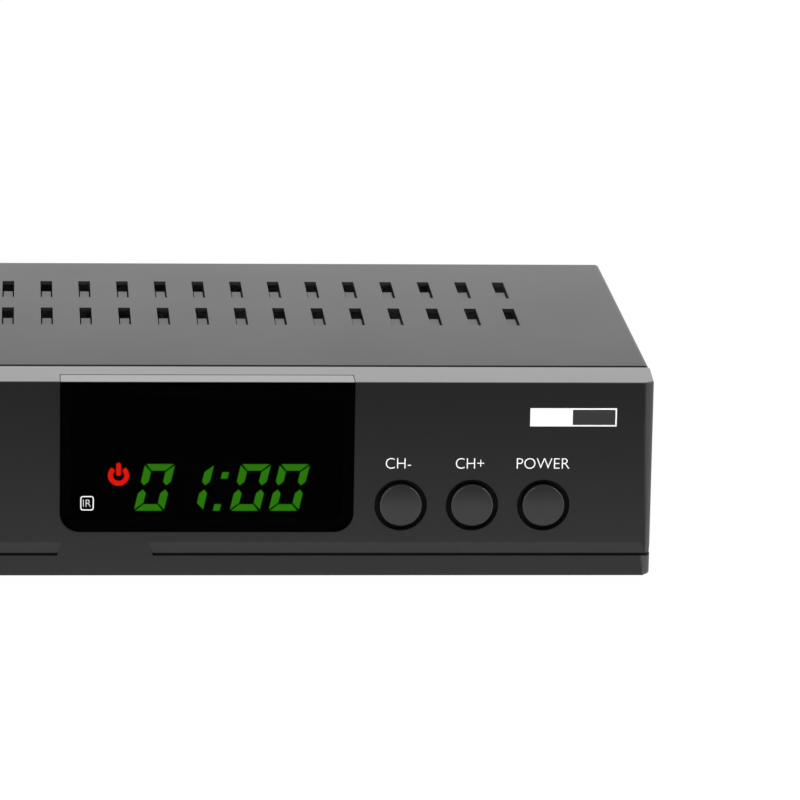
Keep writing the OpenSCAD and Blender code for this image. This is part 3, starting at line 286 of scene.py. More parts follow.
def painted_cover():
    """Satin grey paint over sheet steel: faint clouds, orange peel, and painted light that makes it paler from front
    to rear.
    """
    made, f = finish("satin paint with painted light")
    clouds = f.grain(28, 3)
    peel = f.grain(0.55, 2)
    fine = f.grain(0.09, 1)
    front, deep = -47, 98
    # painted light: the paint is darker at the front of the cover and paler towards its rear
    painted_light_to_rear = (f.axis("Y", f.place()) - front) / deep
    f.skin(
        base_color=f.between(0.004, 0.034, clouds * 0.1 + painted_light_to_rear * 0.9),
        roughness=clouds * 0.06 + 0.3,
        specular_ior_level=0.21,
        normal=f.bump(peel * 0.7 + fine * 0.3, 0.006),
    )
    return made


def bezel_plastic(name="bezel plastic with painted reflections", low=0.003, high=0.055, specular=0.2):
    """Black moulding with painted reflections: paler towards its foot, standing in for the floor's reflection, and on
    its upright corners, standing in for the side lamps'.
    """
    made, f = finish(name)
    height = f.axis("Z", f.place()) / CASE_TALL
    clouds = f.grain(14)
    fine = f.grain(0.1, 1)
    # painted reflection: the upright corners are paler where they would mirror the side lamps
    painted_corner_reflection = f.eased(abs(f.facing("X")), 0.02, 0.3)
    # painted reflection of the floor: paler towards the foot of the face
    foot = (1.05 - height).math("POWER", 1.3)
    f.skin(
        base_color=f.between(low, high, foot * 0.3 + clouds * 0.03 + painted_corner_reflection * 0.7),
        roughness=clouds * 0.06 + 0.42,
        specular_ior_level=specular,
        normal=f.bump(fine, 0.005),
    )
    return made


def rim_shadowed_plastic():
    """Button moulding with a painted shadow of the well's rim: darker over the upper part of each cap, paler over its
    lower half.
    """
    made, f = finish("button plastic with painted shadow")
    # painted shadow: the upper part of each cap is darkened where the well's rim would shade it
    painted_rim_shadow = f.eased(f.axis("Z", f.place()), BUTTON_FOOT + 3.2, BUTTON_FOOT + 8.6)
    clouds = f.grain(5)
    f.skin(
        base_color=f.between(0.024, 0.004, painted_rim_shadow + clouds * 0.12),
        roughness=clouds * 0.08 + 0.46,
        specular_ior_level=0.3,
        normal=f.bump(f.grain(0.11, 1), 0.006),
    )
    return made


def polished_rim(name, low=0.018, high=0.026, coat=0.52, coat_roughness=0.16):
    """Buffed and lacquered plastic, for the faces and edges that catch the light."""
    made, f = finish(name)
    clouds = f.grain(20)
    fine = f.grain(0.12, 1)
    f.skin(
        base_color=f.between(low, high, clouds),
        roughness=clouds * 0.05 + 0.26,
        specular_ior_level=0.5,
        coat_weight=coat,
        coat_roughness=coat_roughness,
        normal=f.bump(fine, 0.003),
    )
    return made


def smoked_acrylic():
    """Polished and nearly black: only what glows shows through it."""
    made, f = finish("smoked acrylic")
    streaks = f.grain(18, 2)
    f.skin(
        base_color=0.0003,
        roughness=streaks * 0.03 + 0.03,
        specular_ior_level=0.005,
        alpha=LENS_DENSITY,
    )
    return made


def glowing(name, colour, strength):
    """A lit diffuser, a little uneven."""
    made, f = finish(name)
    uneven = f.grain(1.8)
    dim = [part * 0.86 for part in colour]
    f.skin(
        base_color=0.01,
        roughness=uneven * 0.1 + 0.5,
        emission_color=f.between(dim, colour, uneven),
        emission_strength=strength,
    )
    return made


def printed(name, low, high):
    """Flat ink or paint."""
    made, f = finish(name)
    fine = f.grain(0.15, 1)
    f.skin(base_color=f.between(low, high, fine), roughness=fine * 0.1 + 0.45, normal=f.bump(fine, 0.004))
    return made


def lines(value, pitch, share):
    """1 inside lines that take so much of each step, in millimetres along one coordinate."""
    return abs((value / pitch).math("FRACT") - 0.5) < share / 2


TIN = (0.5, 0.47, 0.4)
GRID = 1.27  # between tracks, and between pads


def circuit_board(name, low, high, track):
    """Laminate under solder mask: tracks in blocks that run either way, and tinned pads on a grid."""
    made, f = finish(name)
    where = f.place()
    across = f.axis("X", where)
    along = f.axis("Y", where) + f.axis("Z", where)
    turn = f.cell(GRID * 6) > 0.5
    used = f.cell(GRID * 3, seed=2.0) > 0.35
    tracks = (lines(across, GRID, 0.36) * turn + lines(along, GRID, 0.36) * (1 - turn)) * used
    off_x = (across / GRID).math("FRACT") - 0.5
    off_y = (along / GRID).math("FRACT") - 0.5
    spread = (off_x * off_x + off_y * off_y).math("SQRT")
    pads = (spread < 0.3) * (f.cell(GRID, seed=5.0) > 0.9)
    weave = f.grain(0.5, 1)
    mask = f.between(low, high, f.grain(10))
    coloured = f.between(mask, track, tracks * 0.8)
    f.skin(
        base_color=f.between(coloured, TIN, pads),
        roughness=weave * 0.1 + 0.3,
        metallic=pads * 0.9,
        normal=f.bump(tracks * 0.6 + pads * 0.4 + weave * 0.05, 0.03),
    )
    return made


def sleeved_can(name, low, high, stripe):
    """Shrink sleeve with a pale stripe down one side, and a bare scored top."""
    made, f = finish(name)
    top = f.facing("Z") > 0.85
    bar = (f.facing("X") > 0.86) * (1 - top)
    dash = lines(f.axis("Z", f.place()), 3.2, 0.55)
    fine = f.grain(0.2, 2)
    sleeve = f.between(low, high, f.grain(3))
    striped = f.between(sleeve, stripe, bar * (dash * 0.5 + 0.45))
    f.skin(
        base_color=f.between(striped, 0.6, top),
        roughness=fine * 0.12 + 0.28,
        metallic=top,
        normal=f.bump(fine, 0.006),
    )
    return made


def banded(name, axis, pitch, low, high, roughness=0.4, share=0.5, metallic=0.0, depth=0.02):
    """Bands of two colours side by side along one axis, such as windings, tape or a flat cable's ways."""
    made, f = finish(name)
    band = lines(f.axis(axis, f.place()), pitch, share)
    fine = f.grain(0.3, 2)
    f.skin(
        base_color=f.between(low, high, band * 0.85 + fine * 0.15),
        roughness=fine * 0.1 + (roughness - 0.05),
        metallic=metallic,
        normal=f.bump(band * 0.8 + fine * 0.2, depth),
    )
    return made


WIRES = ((0.5, 0.01, 0.01), (0.012, 0.012, 0.014), (0.7, 0.5, 0.02), (0.7, 0.7, 0.68), (0.02, 0.06, 0.4))


def five_wires():
    """Each wire's insulation in its own colour, by its place from front to rear."""
    made, f = finish("wire insulation")
    low, high = (corner.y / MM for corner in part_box("supply_wires"))
    share = (f.axis("Y", f.place()) - low) / (high - low) * len(WIRES)
    colour = WIRES[0]
    for count, other in enumerate(WIRES[1:], 1):
        colour = f.between(colour, other, share > count)
    fine = f.grain(0.4, 2)
    f.skin(base_color=colour, roughness=fine * 0.1 + 0.3, normal=f.bump(fine, 0.01))
    return made


def glass_fuse():
    """A glass tube with metal caps and clips at both ends."""
    made, f = finish("fuse glass")
    low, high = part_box("mains_fuse")
    centre = (low.x + high.x) / 2 / MM
    along = abs(f.axis("X", f.place()) - centre)
    metal = along > (high.x - low.x) / MM * 0.27
    fine = f.grain(0.3, 2)
    f.skin(
        base_color=f.between((0.3, 0.33, 0.33), (0.7, 0.7, 0.68), metal * 0.8 + fine * 0.2),
        roughness=metal * 0.2 + fine * 0.06 + 0.05,
        metallic=metal,
        normal=f.bump(fine, 0.003),
    )
    return made


FINISHES = {
    "grey_steel": painted_cover(),
    "plain_steel": spangled_sheet("zinc sheet", 0.42, 0.6),
    "bezel_plastic": bezel_plastic(),
    "lens_acrylic": smoked_acrylic(),
    "button_plastic": rim_shadowed_plastic(),
    "black_plastic": moulded("black plastic", 0.012, 0.02),
    "chip_epoxy": moulded("chip epoxy", 0.014, 0.022, 0.6),
    "green_board": circuit_board("green board", (0.008, 0.07, 0.02), (0.012, 0.1, 0.03), (0.03, 0.19, 0.06)),
    "blue_board": circuit_board("blue board", (0.006, 0.025, 0.1), (0.01, 0.035, 0.14), (0.03, 0.08, 0.28)),
    "tan_board": circuit_board("tan board", (0.34, 0.22, 0.09), (0.42, 0.29, 0.12), (0.26, 0.16, 0.06)),
    "bright_metal": plated("bright plate", 0.62, 0.72),
    "gold_contact": plated("gold plate", (0.66, 0.44, 0.16), (0.78, 0.54, 0.22), 0.24),
    "screw_steel": plated("zinc plate", 0.5, 0.6, 0.32),
    "heatsink_metal": plated("black anodised", 0.03, 0.05, 0.4, (1, 0.05, 1)),
    "spreader_metal": plated("dark spreader metal", 0.035, 0.06, 0.42, (1, 1, 0.08)),
    "segment_glow": glowing("lit segment", (0.127, 1.0, 0.017), 2.7),
    "lamp_red": glowing("lamp red", (1.0, 0.01, 0.004), 0.3),
    "white_plastic": moulded("white plastic", 0.7, 0.8),
    "yellow_plastic": moulded("yellow plastic", (0.8, 0.5, 0.02), (0.86, 0.56, 0.03), 0.36),
    "ivory_plastic": moulded("ivory plastic", (0.72, 0.7, 0.64), (0.8, 0.78, 0.72), 0.36),
    "red_plastic": moulded("red plastic", (0.5, 0.012, 0.01), (0.6, 0.02, 0.015), 0.36),
    "dark_sleeve": sleeved_can("dark sleeve", 0.012, 0.02, 0.5),
    "blue_sleeve": sleeved_can("blue sleeve", (0.01, 0.02, 0.1), (0.014, 0.03, 0.14), (0.4, 0.42, 0.5)),
    "green_sleeve": sleeved_can("green sleeve", (0.01, 0.08, 0.03), (0.014, 0.1, 0.04), (0.6, 0.5, 0.2)),
    "ferrite": moulded("ferrite", 0.03, 0.045, 0.6, 0.3, 0.02),
    "yellow_tape": banded("yellow tape", "Z", 4.6, (0.72, 0.5, 0.05), (0.86, 0.62, 0.1), 0.3, 0.9),
    "copper_wire": banded("copper wire", "Y", 0.9, (0.3, 0.1, 0.03), (0.72, 0.3, 0.12), 0.3, 0.7, 1.0, 0.2),
    "fuse_glass": glass_fuse(),
    "film_sheet": moulded("film sheet", 0.7, 0.8, 0.3),
    "red_wire": five_wires(),
    "ribbon_film": banded("ribbon film", "X", 1.0, (0.34, 0.33, 0.3), (0.66, 0.65, 0.6), 0.4, 0.62),
    "foot_rubber": moulded("foot rubber", 0.01, 0.016, 0.7, 0.25, 0.02),
}
WHITE_INK = printed("white ink", 0.8, 0.88)
BLACK_INK = printed("black ink", 0.004, 0.006)
BEZEL_RIM = polished_rim("buffed bezel rim")
LENS_RIM = polished_rim("polished lens rim", 0.03, 0.04, 0.74)
# a paler copy of the bezel's finish for the band above the groove: a painted reflection of the floor
PAINTED_BAND_REFLECTION = bezel_plastic("groove band painted reflection", 0.01, 0.06, 0.25)
# near black: painted shade in the seam and on the cover's front edge, and the black film behind the lens
BLACK_FILM_AND_PAINTED_SHADE = moulded("near-black film and painted shade", 0.0015, 0.003, 0.6, specular=0.06)
RESISTOR_PAINT = banded("resistor paint", "X", 1.3, (0.5, 0.36, 0.2), (0.3, 0.08, 0.03), 0.35, 0.8)
# painted shade for the groove, the well walls and the caps' sides and edges
PAINTED_WELL_SHADE = moulded("painted shade in the wells", 0.01, 0.014, 0.6, specular=0.12)
POLISHED_EDGE = polished_rim("polished cap edge", 0.02, 0.03, 1.0, 0.1)
DARK_SEGMENT = printed("unlit segment", 0.004, 0.006)
STANDBY_RED = glowing("standby red", (1.0, 0.012, 0.004), 11.0)
INSIDE_PAINT = printed("inside of the cover", 0.012, 0.02)

slot_of = {part["node"]: part["material_slot"] for part in frame["record"]["subparts"]}
for name, node in nodes.items():
    node.data.materials.clear()
    node.data.materials.append(FINISHES[slot_of[name]])


# ----------------------------------------------------------------- modelling


SHARP = math.radians(30)  # an edge that turns further is rounded


def alone(piece):
    """Makes the piece the active one and the only one selected."""
    bpy.ops.object.select_all(action="DESELECT")
    piece.select_set(True)
    bpy.context.view_layer.objects.active = piece


def rounded(piece, width, where=None, steps=2):
    """In edit mode, rounds the sharp edges whose middles where() accepts by so many millimetres."""
    bpy.ops.mesh.select_all(action="DESELECT")
    mesh = bmesh.from_edit_mesh(piece.data)
    for edge in mesh.edges:
        sharp = len(edge.link_faces) == 2 and edge.calc_face_angle() > SHARP
        middle = in_case((edge.verts[0].co + edge.verts[1].co) / 2)
        if sharp and (where is None or where(middle)):
            edge.select_set(True)
    bmesh.update_edit_mesh(piece.data)
    bpy.ops.mesh.bevel(offset=width * MM, segments=steps, affect="EDGES", clamp_overlap=True)


def finished(piece, slot, look=None, turn=40):
    """Applies the place, shades the curves and gives the piece its finish."""
    alone(piece)
    bpy.ops.object.transform_apply(location=True, rotation=True, scale=True)
    bpy.ops.object.shade_smooth_by_angle(angle=math.radians(turn))
    weighted = piece.modifiers.new("even shading", "WEIGHTED_NORMAL")
    weighted.keep_sharp = True
    bpy.ops.object.modifier_apply(modifier=weighted.name)
    piece.data.materials.clear()
    piece.data.materials.append(look or FINISHES[slot])
    return piece


def on_the_case(piece, slot, look=None):
    """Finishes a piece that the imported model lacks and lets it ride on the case."""
    finished(piece, slot, look)
    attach(piece, "case")
    return piece


def inked(piece, look=None):
    return on_the_case(piece, "white_plastic", look or WHITE_INK)


def stands_for(piece, node):
    """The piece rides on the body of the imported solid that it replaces."""
    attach(piece, nodes[node]["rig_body"])
    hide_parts(node)
    return piece


def dressed(node, name, *rounds):
    """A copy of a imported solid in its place, with its sharp edges rounded as each of rounds says."""
    piece = bpy.data.objects.new(name, nodes[node].data.copy())
    bpy.context.collection.objects.link(piece)
    alone(piece)
    bpy.ops.object.mode_set(mode="EDIT")
    bpy.ops.mesh.select_all(action="SELECT")
    bpy.ops.mesh.customdata_custom_splitnormals_clear()
    bpy.ops.mesh.remove_doubles(threshold=0.002 * MM)
    bpy.ops.mesh.dissolve_limited(angle_limit=math.radians(0.4))
    for each in rounds:
        rounded(piece, *each)
    bpy.ops.object.mode_set(mode="OBJECT")
    finished(piece, slot_of[node])
    return stands_for(piece, node)


def second_finish(piece, look, choose):
    """Gives the faces that choose() accepts, by middle and direction, another finish."""
    piece.data.materials.append(look)
    for face in piece.data.polygons:
        if choose(in_case(face.center), face.normal):
            face.material_index = len(piece.data.materials) - 1


def start(kind, **settings):
    """Adds a primitive with nothing else selected."""
    bpy.ops.object.select_all(action="DESELECT")
    getattr(bpy.ops.mesh, f"primitive_{kind}_add")(**settings)
    return bpy.context.active_object


def traced(name, points):
    """Edges extruded from point to point, all selected in edit mode."""
    piece = start("plane", size=MM, location=points[0])
    piece.name = name
    bpy.ops.object.mode_set(mode="EDIT")
    bpy.ops.mesh.merge(type="CENTER")
    for here, there in zip(points, points[1:]):
        bpy.ops.mesh.extrude_vertices_move(TRANSFORM_OT_translate={"value": there - here})
    bpy.ops.mesh.select_all(action="SELECT")
    return piece


def closed_up():
    """Merges what meets, turns the faces outwards and leaves edit mode."""
    bpy.ops.mesh.select_all(action="SELECT")
    bpy.ops.mesh.remove_doubles(threshold=0.001 * MM)
    bpy.ops.mesh.normals_make_consistent(inside=False)
    bpy.ops.object.mode_set(mode="OBJECT")


def turned(name, profile, centre, axis="Y", steps=48):
    """A profile of radius and height, in millimetres, turned about an axis through a point."""
    along = Vector([float(axis == other) for other in "XYZ"])
    out = Vector((1, 0, 0)) if axis == "Z" else Vector((0, 0, 1))
    piece = traced(name, [centre + (out * radius + along * height) * MM for radius, height in profile])
    bpy.ops.mesh.spin(steps=steps, angle=math.tau, center=centre, axis=along)
    closed_up()
    return piece


def plate(name, outline, front, back):
    """A flat shape drawn in X and Z, standing from front to back."""
    piece = traced(name, [spot(x, back, z) for x, z in outline])
    bpy.ops.mesh.edge_face_add()
    bpy.ops.mesh.extrude_region_move(TRANSFORM_OT_translate={"value": (0, (front - back) * MM, 0)})
    bpy.ops.mesh.select_all(action="SELECT")
    bpy.ops.mesh.normals_make_consistent(inside=False)
    bpy.ops.object.mode_set(mode="OBJECT")
    return piece


def outlined(name, outline, width, front, back):
    """The rim only of a flat shape."""
    piece = traced(name, [spot(x, back, z) for x, z in outline])
    bpy.ops.mesh.edge_face_add()
    bpy.ops.mesh.inset(thickness=width * MM)
    bpy.ops.mesh.delete(type="FACE")
    bpy.ops.mesh.select_all(action="SELECT")
    bpy.ops.mesh.extrude_region_move(TRANSFORM_OT_translate={"value": (0, (front - back) * MM, 0)})
    closed_up()
    return piece


def brick(name, low, high, edge):
    """A block between two corners, in millimetres, with rounded edges."""
    low, high = Vector(low), Vector(high)
    piece = start("cube", size=1, location=spot(*((low + high) / 2)))
    piece.name = name
    piece.scale = (high - low) * MM
    bpy.ops.object.transform_apply(location=True, rotation=True, scale=True)
    bpy.ops.object.mode_set(mode="EDIT")
    rounded(piece, edge)
    bpy.ops.object.mode_set(mode="OBJECT")
    return piece


def copied(piece, name, shift):
    """A copy with its own mesh, moved so many millimetres."""
    made = bpy.data.objects.new(name, piece.data.copy())
    bpy.context.collection.objects.link(made)
    made.matrix_world = piece.matrix_world.copy()
    made.location += Vector(shift) * MM
    return made


def as_one(name, *pieces):
    """Several pieces joined into one."""
    bpy.ops.object.select_all(action="DESELECT")
    for piece in pieces:
        piece.select_set(True)
    bpy.context.view_layer.objects.active = pieces[0]
    bpy.ops.object.join()
    pieces[0].name = name
    return pieces[0]


def lettering(name, text, left, right, low, high, front=0.0, thin=-0.014):
    """A printed word that fills the given box on the face, its strokes a little thinner than the font's."""
    bpy.ops.object.select_all(action="DESELECT")
    bpy.ops.object.text_add()
    piece = bpy.context.active_object
    piece.name = name
    piece.data.body = text
    piece.data.extrude = 0.01
    piece.data.offset = thin
    bpy.ops.object.convert(target="MESH")
    piece = bpy.context.active_object
    bpy.ops.object.mode_set(mode="EDIT")
    bpy.ops.mesh.select_all(action="SELECT")
    bpy.ops.mesh.remove_doubles(threshold=1e-5)
    bpy.ops.object.mode_set(mode="OBJECT")
    corners = [Vector(c) for c in piece.bound_box]
    begin, end = corners[0], corners[6]
    wide, tall = (right - left) * MM / (end.x - begin.x), (high - low) * MM / (end.y - begin.y)
    thick = INK * MM / (end.z - begin.z)
    for vertex in piece.data.vertices:
        point = vertex.co - begin
        vertex.co = spot(left, front, low) + Vector((point.x * wide, -point.z * thick, point.y * tall))
    inked(piece)


def arc(centre, radius, begin, end, steps):
    """Points along an arc, in degrees from the right and anticlockwise."""
    turns = [math.radians(begin + (end - begin) * i / steps) for i in range(steps + 1)]
    return [(centre[0] + radius * math.cos(t), centre[1] + radius * math.sin(t)) for t in turns]


def soft_box(left, low, right, high, radius, steps=6):
    """A rectangle's outline with round corners."""
    corners = ((right, low, 270), (right, high, 0), (left, high, 90), (left, low, 180))
    points = []
    for x, z, begin in corners:
        centre = (x - math.copysign(radius, x - left - 1e-6), z - math.copysign(radius, z - low - 1e-6))
        points += arc(centre, radius, begin, begin + 90, steps)
    return points


# --------------------------------------------------------------------- camera

PICTURE = 800  # the photo's width in pixels
FOCAL = 5530  # its focal length, in those pixels

camera_data = bpy.data.cameras.new("camera")
camera = bpy.data.objects.new("camera", camera_data)
bpy.context.collection.objects.link(camera)
bpy.context.scene.camera = camera
camera_data.sensor_width = 36
camera_data.lens = FOCAL / PICTURE * camera_data.sensor_width
camera_data.clip_end = 20
# the turn and the place at which the edges, louvres and buttons fall on the photo's
heading, dip, lean = (math.radians(a) for a in (4.002, 13.026, 1.001))
ahead = Vector((math.sin(heading) * math.cos(dip), math.cos(heading) * math.cos(dip), -math.sin(dip)))
camera.location = spot(-16.533, -1035.549, 275.133)
camera.rotation_mode = "QUATERNION"
camera.rotation_quaternion = ahead.to_track_quat("-Z", "Y") @ Quaternion((0, 0, 1), lean)

# --------------------------------------------------------------- front pieces

BUTTONS = {"channel_down": 56.4, "channel_up": 70.25, "power": 84.1}  # how far each is right of the middle
BUTTON_Z = 14.1
WELL_RADIUS = 5.15
CORNER_DEEP = 2.3  # where the upright corners end, behind the face
CORNER_WIDE = 2.6  # and how far in from the sides they start
bezel_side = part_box("front_bezel")[1].x / MM
bezel_rear = 13.5  # its outside; a lip goes on into the cover
cover_front = reach("top_cover")[0].y
cover_side = reach("top_cover")[1].x
# up to here the cover's front edge gets painted shade
seam_end = cover_front + 0.5  # how far back the cover's front edge is in the dark


def at_top_or_foot(p):
    return p.z < 0.3 or p.z > CASE_TALL - 0.3


def at_a_side(p):
    return abs(p.x) > bezel_side - 0.6


def long_edge(p):
    """The edges of the top and the underside, along the sides and round the upright corners."""
    in_a_corner = bezel_side - CORNER_WIDE < abs(p.x) and 0.28 < p.y < CORNER_DEEP
    return at_top_or_foot(p) and (in_a_corner or (at_a_side(p) and p.y > CORNER_DEEP))


def rear_edge(p):
    return abs(p.y - bezel_rear) < 0.03 and (at_a_side(p) or at_top_or_foot(p))


def face_edge(p):
    """The rims of the wells, the lens pocket and the sloping band, but not the groove's."""
    on_the_face = p.y < 3.2 and abs(p.x) < bezel_side - 2.7 and 0.4 < p.z < CASE_TALL - 0.4
    return on_the_face and not 3.5 < p.z < 4.7


def on_the_band(p, n):
    """The slope above the groove, which gets a paler finish as a painted reflection of the floor."""
    return p.y < 0.31 and 4.5 < p.z < 6.7 and n.y < -0.9 and n.z < -0.05


def on_top(p, n):
    """The upward faces at the top of the case."""
    return n.z > 0.75 and p.z > CASE_TALL - 0.5


def out_of_light(p, n):
    """In the seam behind the bezel, where shade is painted."""
    return p.y > bezel_rear + 0.1 or (p.y > bezel_rear - 0.4 and n.y > 0.2)


def from_a_button(p):
    """How far a point is from the axis of the nearest button."""
    return min(math.hypot(p.x - x, p.z - BUTTON_Z) for x in BUTTONS.values())


def in_a_well(p, n):
    """In the groove or round a button, where shade is painted."""
    in_the_groove = 3.7 < p.z < 4.6 and 0.3 < p.y < 1
    return in_the_groove or (0.1 < p.y < 3 and from_a_button(p) < WELL_RADIUS)


def rim_of_a_well(p, n):
    return p.y < 0.1 and abs(n.y) < 0.97 and WELL_RADIUS - 0.15 < from_a_button(p) < WELL_RADIUS + 0.15


bezel = dressed("front_bezel", "bezel", (0.5, long_edge, 3), (0.2, rear_edge, 3), (0.07, face_edge, 2))
second_finish(bezel, BEZEL_RIM, lambda p, n: on_top(p, n) and p.y < bezel_rear)
# painted reflection of the floor on the band above the groove
second_finish(bezel, PAINTED_BAND_REFLECTION, on_the_band)
# painted shade in the seam behind the bezel
second_finish(bezel, BLACK_FILM_AND_PAINTED_SHADE, out_of_light)
# painted shade in the groove and the wells round the buttons
second_finish(bezel, PAINTED_WELL_SHADE, in_a_well)
second_finish(bezel, POLISHED_EDGE, rim_of_a_well)

lens = dressed("display_lens", "lens", (0.1, None, 2))
second_finish(lens, LENS_RIM, on_top)


def front_of_cover(p):
    """The outer edge of the cover's front, round both folds."""
    outside = math.hypot(max(abs(p.x) - cover_side + 1, 0), max(p.z - CASE_TALL + 1, 0)) > 0.9
    return outside and abs(p.y - cover_front) < 0.05


def inside_of_cover(p, n):
    """The underside of the top and the inner faces of the sides."""
    of_a_side = abs(p.x) > cover_side - 1 and n.x * p.x < 0 and abs(n.x) > 0.5
    return of_a_side or (p.z > CASE_TALL - 2 and n.z < -0.5)


cover = dressed("top_cover", "cover", (0.42, front_of_cover, 3), (0.07, lambda p: p.y > seam_end, 2))
second_finish(cover, INSIDE_PAINT, inside_of_cover)
# painted shade on the cover's front edge, in the seam
second_finish(cover, BLACK_FILM_AND_PAINTED_SHADE, lambda p, n: n.y < -0.1 and p.y < seam_end)

# radius and depth: the dished front, the running side, the flange and the stem
CAP_PROFILE = (
    (0, -0.22), (0.8, -0.235), (1.6, -0.27), (2.4, -0.325), (3.2, -0.41), (3.65, -0.47), (3.85, -0.5), (3.94, -0.485),
    (4, -0.45), (4.05, -0.36), (4.05, 1.2), (4.05, 2.5), (5.7, 2.5), (5.8, 2.6), (5.8, 3.6), (5.7, 3.7), (2.1, 3.7),
    (2, 3.8), (2, 6.4), (1.9, 6.5), (0, 6.5),
)
first_cap = None
for name, x in BUTTONS.items():
    if first_cap is None:
        cap = first_cap = turned(f"{name}_cap", CAP_PROFILE, spot(x, 0, BUTTON_Z), steps=96)
        first_x = x
    else:
        cap = copied(first_cap, f"{name}_cap", (x - first_x, 0, 0))
    finished(cap, "button_plastic", turn=50)
    # painted shade on the cap's side and round its edge
    second_finish(cap, PAINTED_WELL_SHADE, lambda p, n: p.y > 0 or n.y > -0.9)
    # the rim shines at its left and right, not at its top and foot
    second_finish(cap, POLISHED_EDGE, lambda p, n: p.y < 0 and -0.9 < n.y < -0.84 and abs(p.x - x) > 1.8)
    stands_for(cap, f"{name}_button")


# the middle of each digit, and which of its segments are lit
DIGITS = ((8.85, "ring"), (16.4, "right"), (27.4, "ring"), (34.95, "ring"))
DISPLAY_Z = 16.7
SLANT = math.tan(math.radians(13))
HALF_DIGIT = 3.2  # half its width
MIDDLE_BAR = (2.1, 0.75)  # half the width and height of the segment across a digit


def lit(p, n):
    """Whether a face of the display glows when it shows 01:00."""
    if n.y > -0.9:
        return False
    up = p.z - DISPLAY_Z
    across = p.x - up * SLANT
    centre, shown = min(DIGITS, key=lambda digit: abs(digit[0] - across))
    off = across - centre
    if abs(off) > HALF_DIGIT:
        return True  # the colon
    if shown == "right":
        return off > 1.2
    return abs(off) > MIDDLE_BAR[0] or abs(up) > MIDDLE_BAR[1]


digits = dressed("display_segments", "display_digits", (0.04, None, 1))
digits.data.materials[0] = DARK_SEGMENT
second_finish(digits, FINISHES["segment_glow"], lit)

LENS_FACE = -0.15
LENS_BACK = 1.45
MARK_DEPTHS = (LENS_BACK + 0.01, LENS_BACK + 0.07)
FILM_DEPTHS = (LENS_BACK + 0.07, LENS_BACK + 0.17)

# the standby mark is an open ring with a bar in its gap
MARK_X, MARK_Z = 1.86, 19.61
RING_OUTSIDE, RING_INSIDE = 2.06, 1.08
ring = arc((MARK_X, MARK_Z), RING_OUTSIDE, 130, 410, 40) + arc((MARK_X, MARK_Z), RING_INSIDE, 416, 124, 32)
bar = soft_box(MARK_X - 0.47, MARK_Z - 0.1, MARK_X + 0.47, MARK_Z + 2.49, 0.4)
standby = as_one(
    "standby_mark",
    plate("standby_ring", ring, *MARK_DEPTHS),
    plate("standby_bar", bar, *MARK_DEPTHS),
)
on_the_case(standby, "lamp_red", STANDBY_RED)

# a black film behind the lens, open round the display, in the same near black that paints shade in the seams
film = [(-7.3, 10.9), (4.9, 10.9), (4.9, 23), (38.9, 23), (38.9, 10.9), (45.1, 10.9), (45.1, 35), (-7.3, 35)]
on_the_case(plate("lens_mask", film, *FILM_DEPTHS), "black_plastic", BLACK_FILM_AND_PAINTED_SHADE)

inked(outlined("infrared_frame", soft_box(-5.5, 13.05, -2.92, 15.9, 0.5), 0.2, LENS_FACE - INK, LENS_FACE))
lettering("infrared_letters", "IR", -4.98, -3.46, 13.76, 15.18, LENS_FACE, thin=-0.022)
LABEL_HEIGHTS = (21.37, 23.47)
lettering("label_channel_down", "CH-", 53.38, 58.27, *LABEL_HEIGHTS)
lettering("label_channel_up", "CH+", 66.96, 72.43, *LABEL_HEIGHTS)
lettering("label_power", "POWER", 78.78, 89.02, *LABEL_HEIGHTS)

# the badge: a white plate, half of it and all but its rim blacked out
inked(plate("badge", soft_box(81.2, 29.8, 98, 33.4, 0.05, 1), -INK, 0))
inked(plate("badge_dark_half", soft_box(89.45, 30.1, 97.7, 33.1, 0.05, 1), -2 * INK, -INK), BLACK_INK)

# -------------------------------------------------- small parts on the boards

BOARD_TOP = 7.8
LEG_THICK = 0.13
LEG_WIDE = 0.3
LEG_LONG = 0.9


def leg(name, x, y, out_by, tall):
    """A bent leg from a chip's side at x, outwards and down to the board."""
    thick = math.copysign(LEG_THICK, out_by)
    bend, foot = x + out_by * 0.4, x + out_by
    top, sole = BOARD_TOP + tall, BOARD_TOP + LEG_THICK
    outline = (
        (x, top), (bend, top), (bend + thick, sole), (foot, sole),
        (foot, BOARD_TOP), (bend, BOARD_TOP), (bend - thick, top - LEG_THICK), (x, top - LEG_THICK),
    )
    return plate(name, outline, y - LEG_WIDE / 2, y + LEG_WIDE / 2)


def two_rows(name, low, high, count, pitch, tall=0.7):
    """Legs along the two sides of a chip that lies between two corners."""
    first_y = (low[1] + high[1] - (count - 1) * pitch) / 2
    legs = [
        leg(f"{name}_right", high[0], first_y, LEG_LONG, tall),
        leg(f"{name}_left", low[0], first_y, -LEG_LONG, tall),
    ]
    for side in legs[:]:
        legs += [copied(side, f"{side.name}_{i}", (0, i * pitch, 0)) for i in range(1, count)]
    return as_one(name, *legs)


def quarter_turned(piece, name, x, y):
    """A copy turned a quarter round an upright line."""
    made = copied(piece, name, (0, 0, 0))
    alone(made)
    bpy.ops.object.transform_apply(location=True, rotation=True, scale=True)
    bpy.ops.object.mode_set(mode="EDIT")
    bpy.ops.mesh.select_all(action="SELECT")
    bpy.ops.transform.rotate(value=math.pi / 2, orient_axis="Z", center_override=spot(x, y, BOARD_TOP))
    bpy.ops.object.mode_set(mode="OBJECT")
    return made


low, high = reach("processor")
rows = two_rows("processor_rows", low, high, 24, 0.75)
across = quarter_turned(rows, "processor_rows_across", *((low + high) / 2)[:2])
on_the_case(as_one("processor_legs", rows, across), "bright_metal")

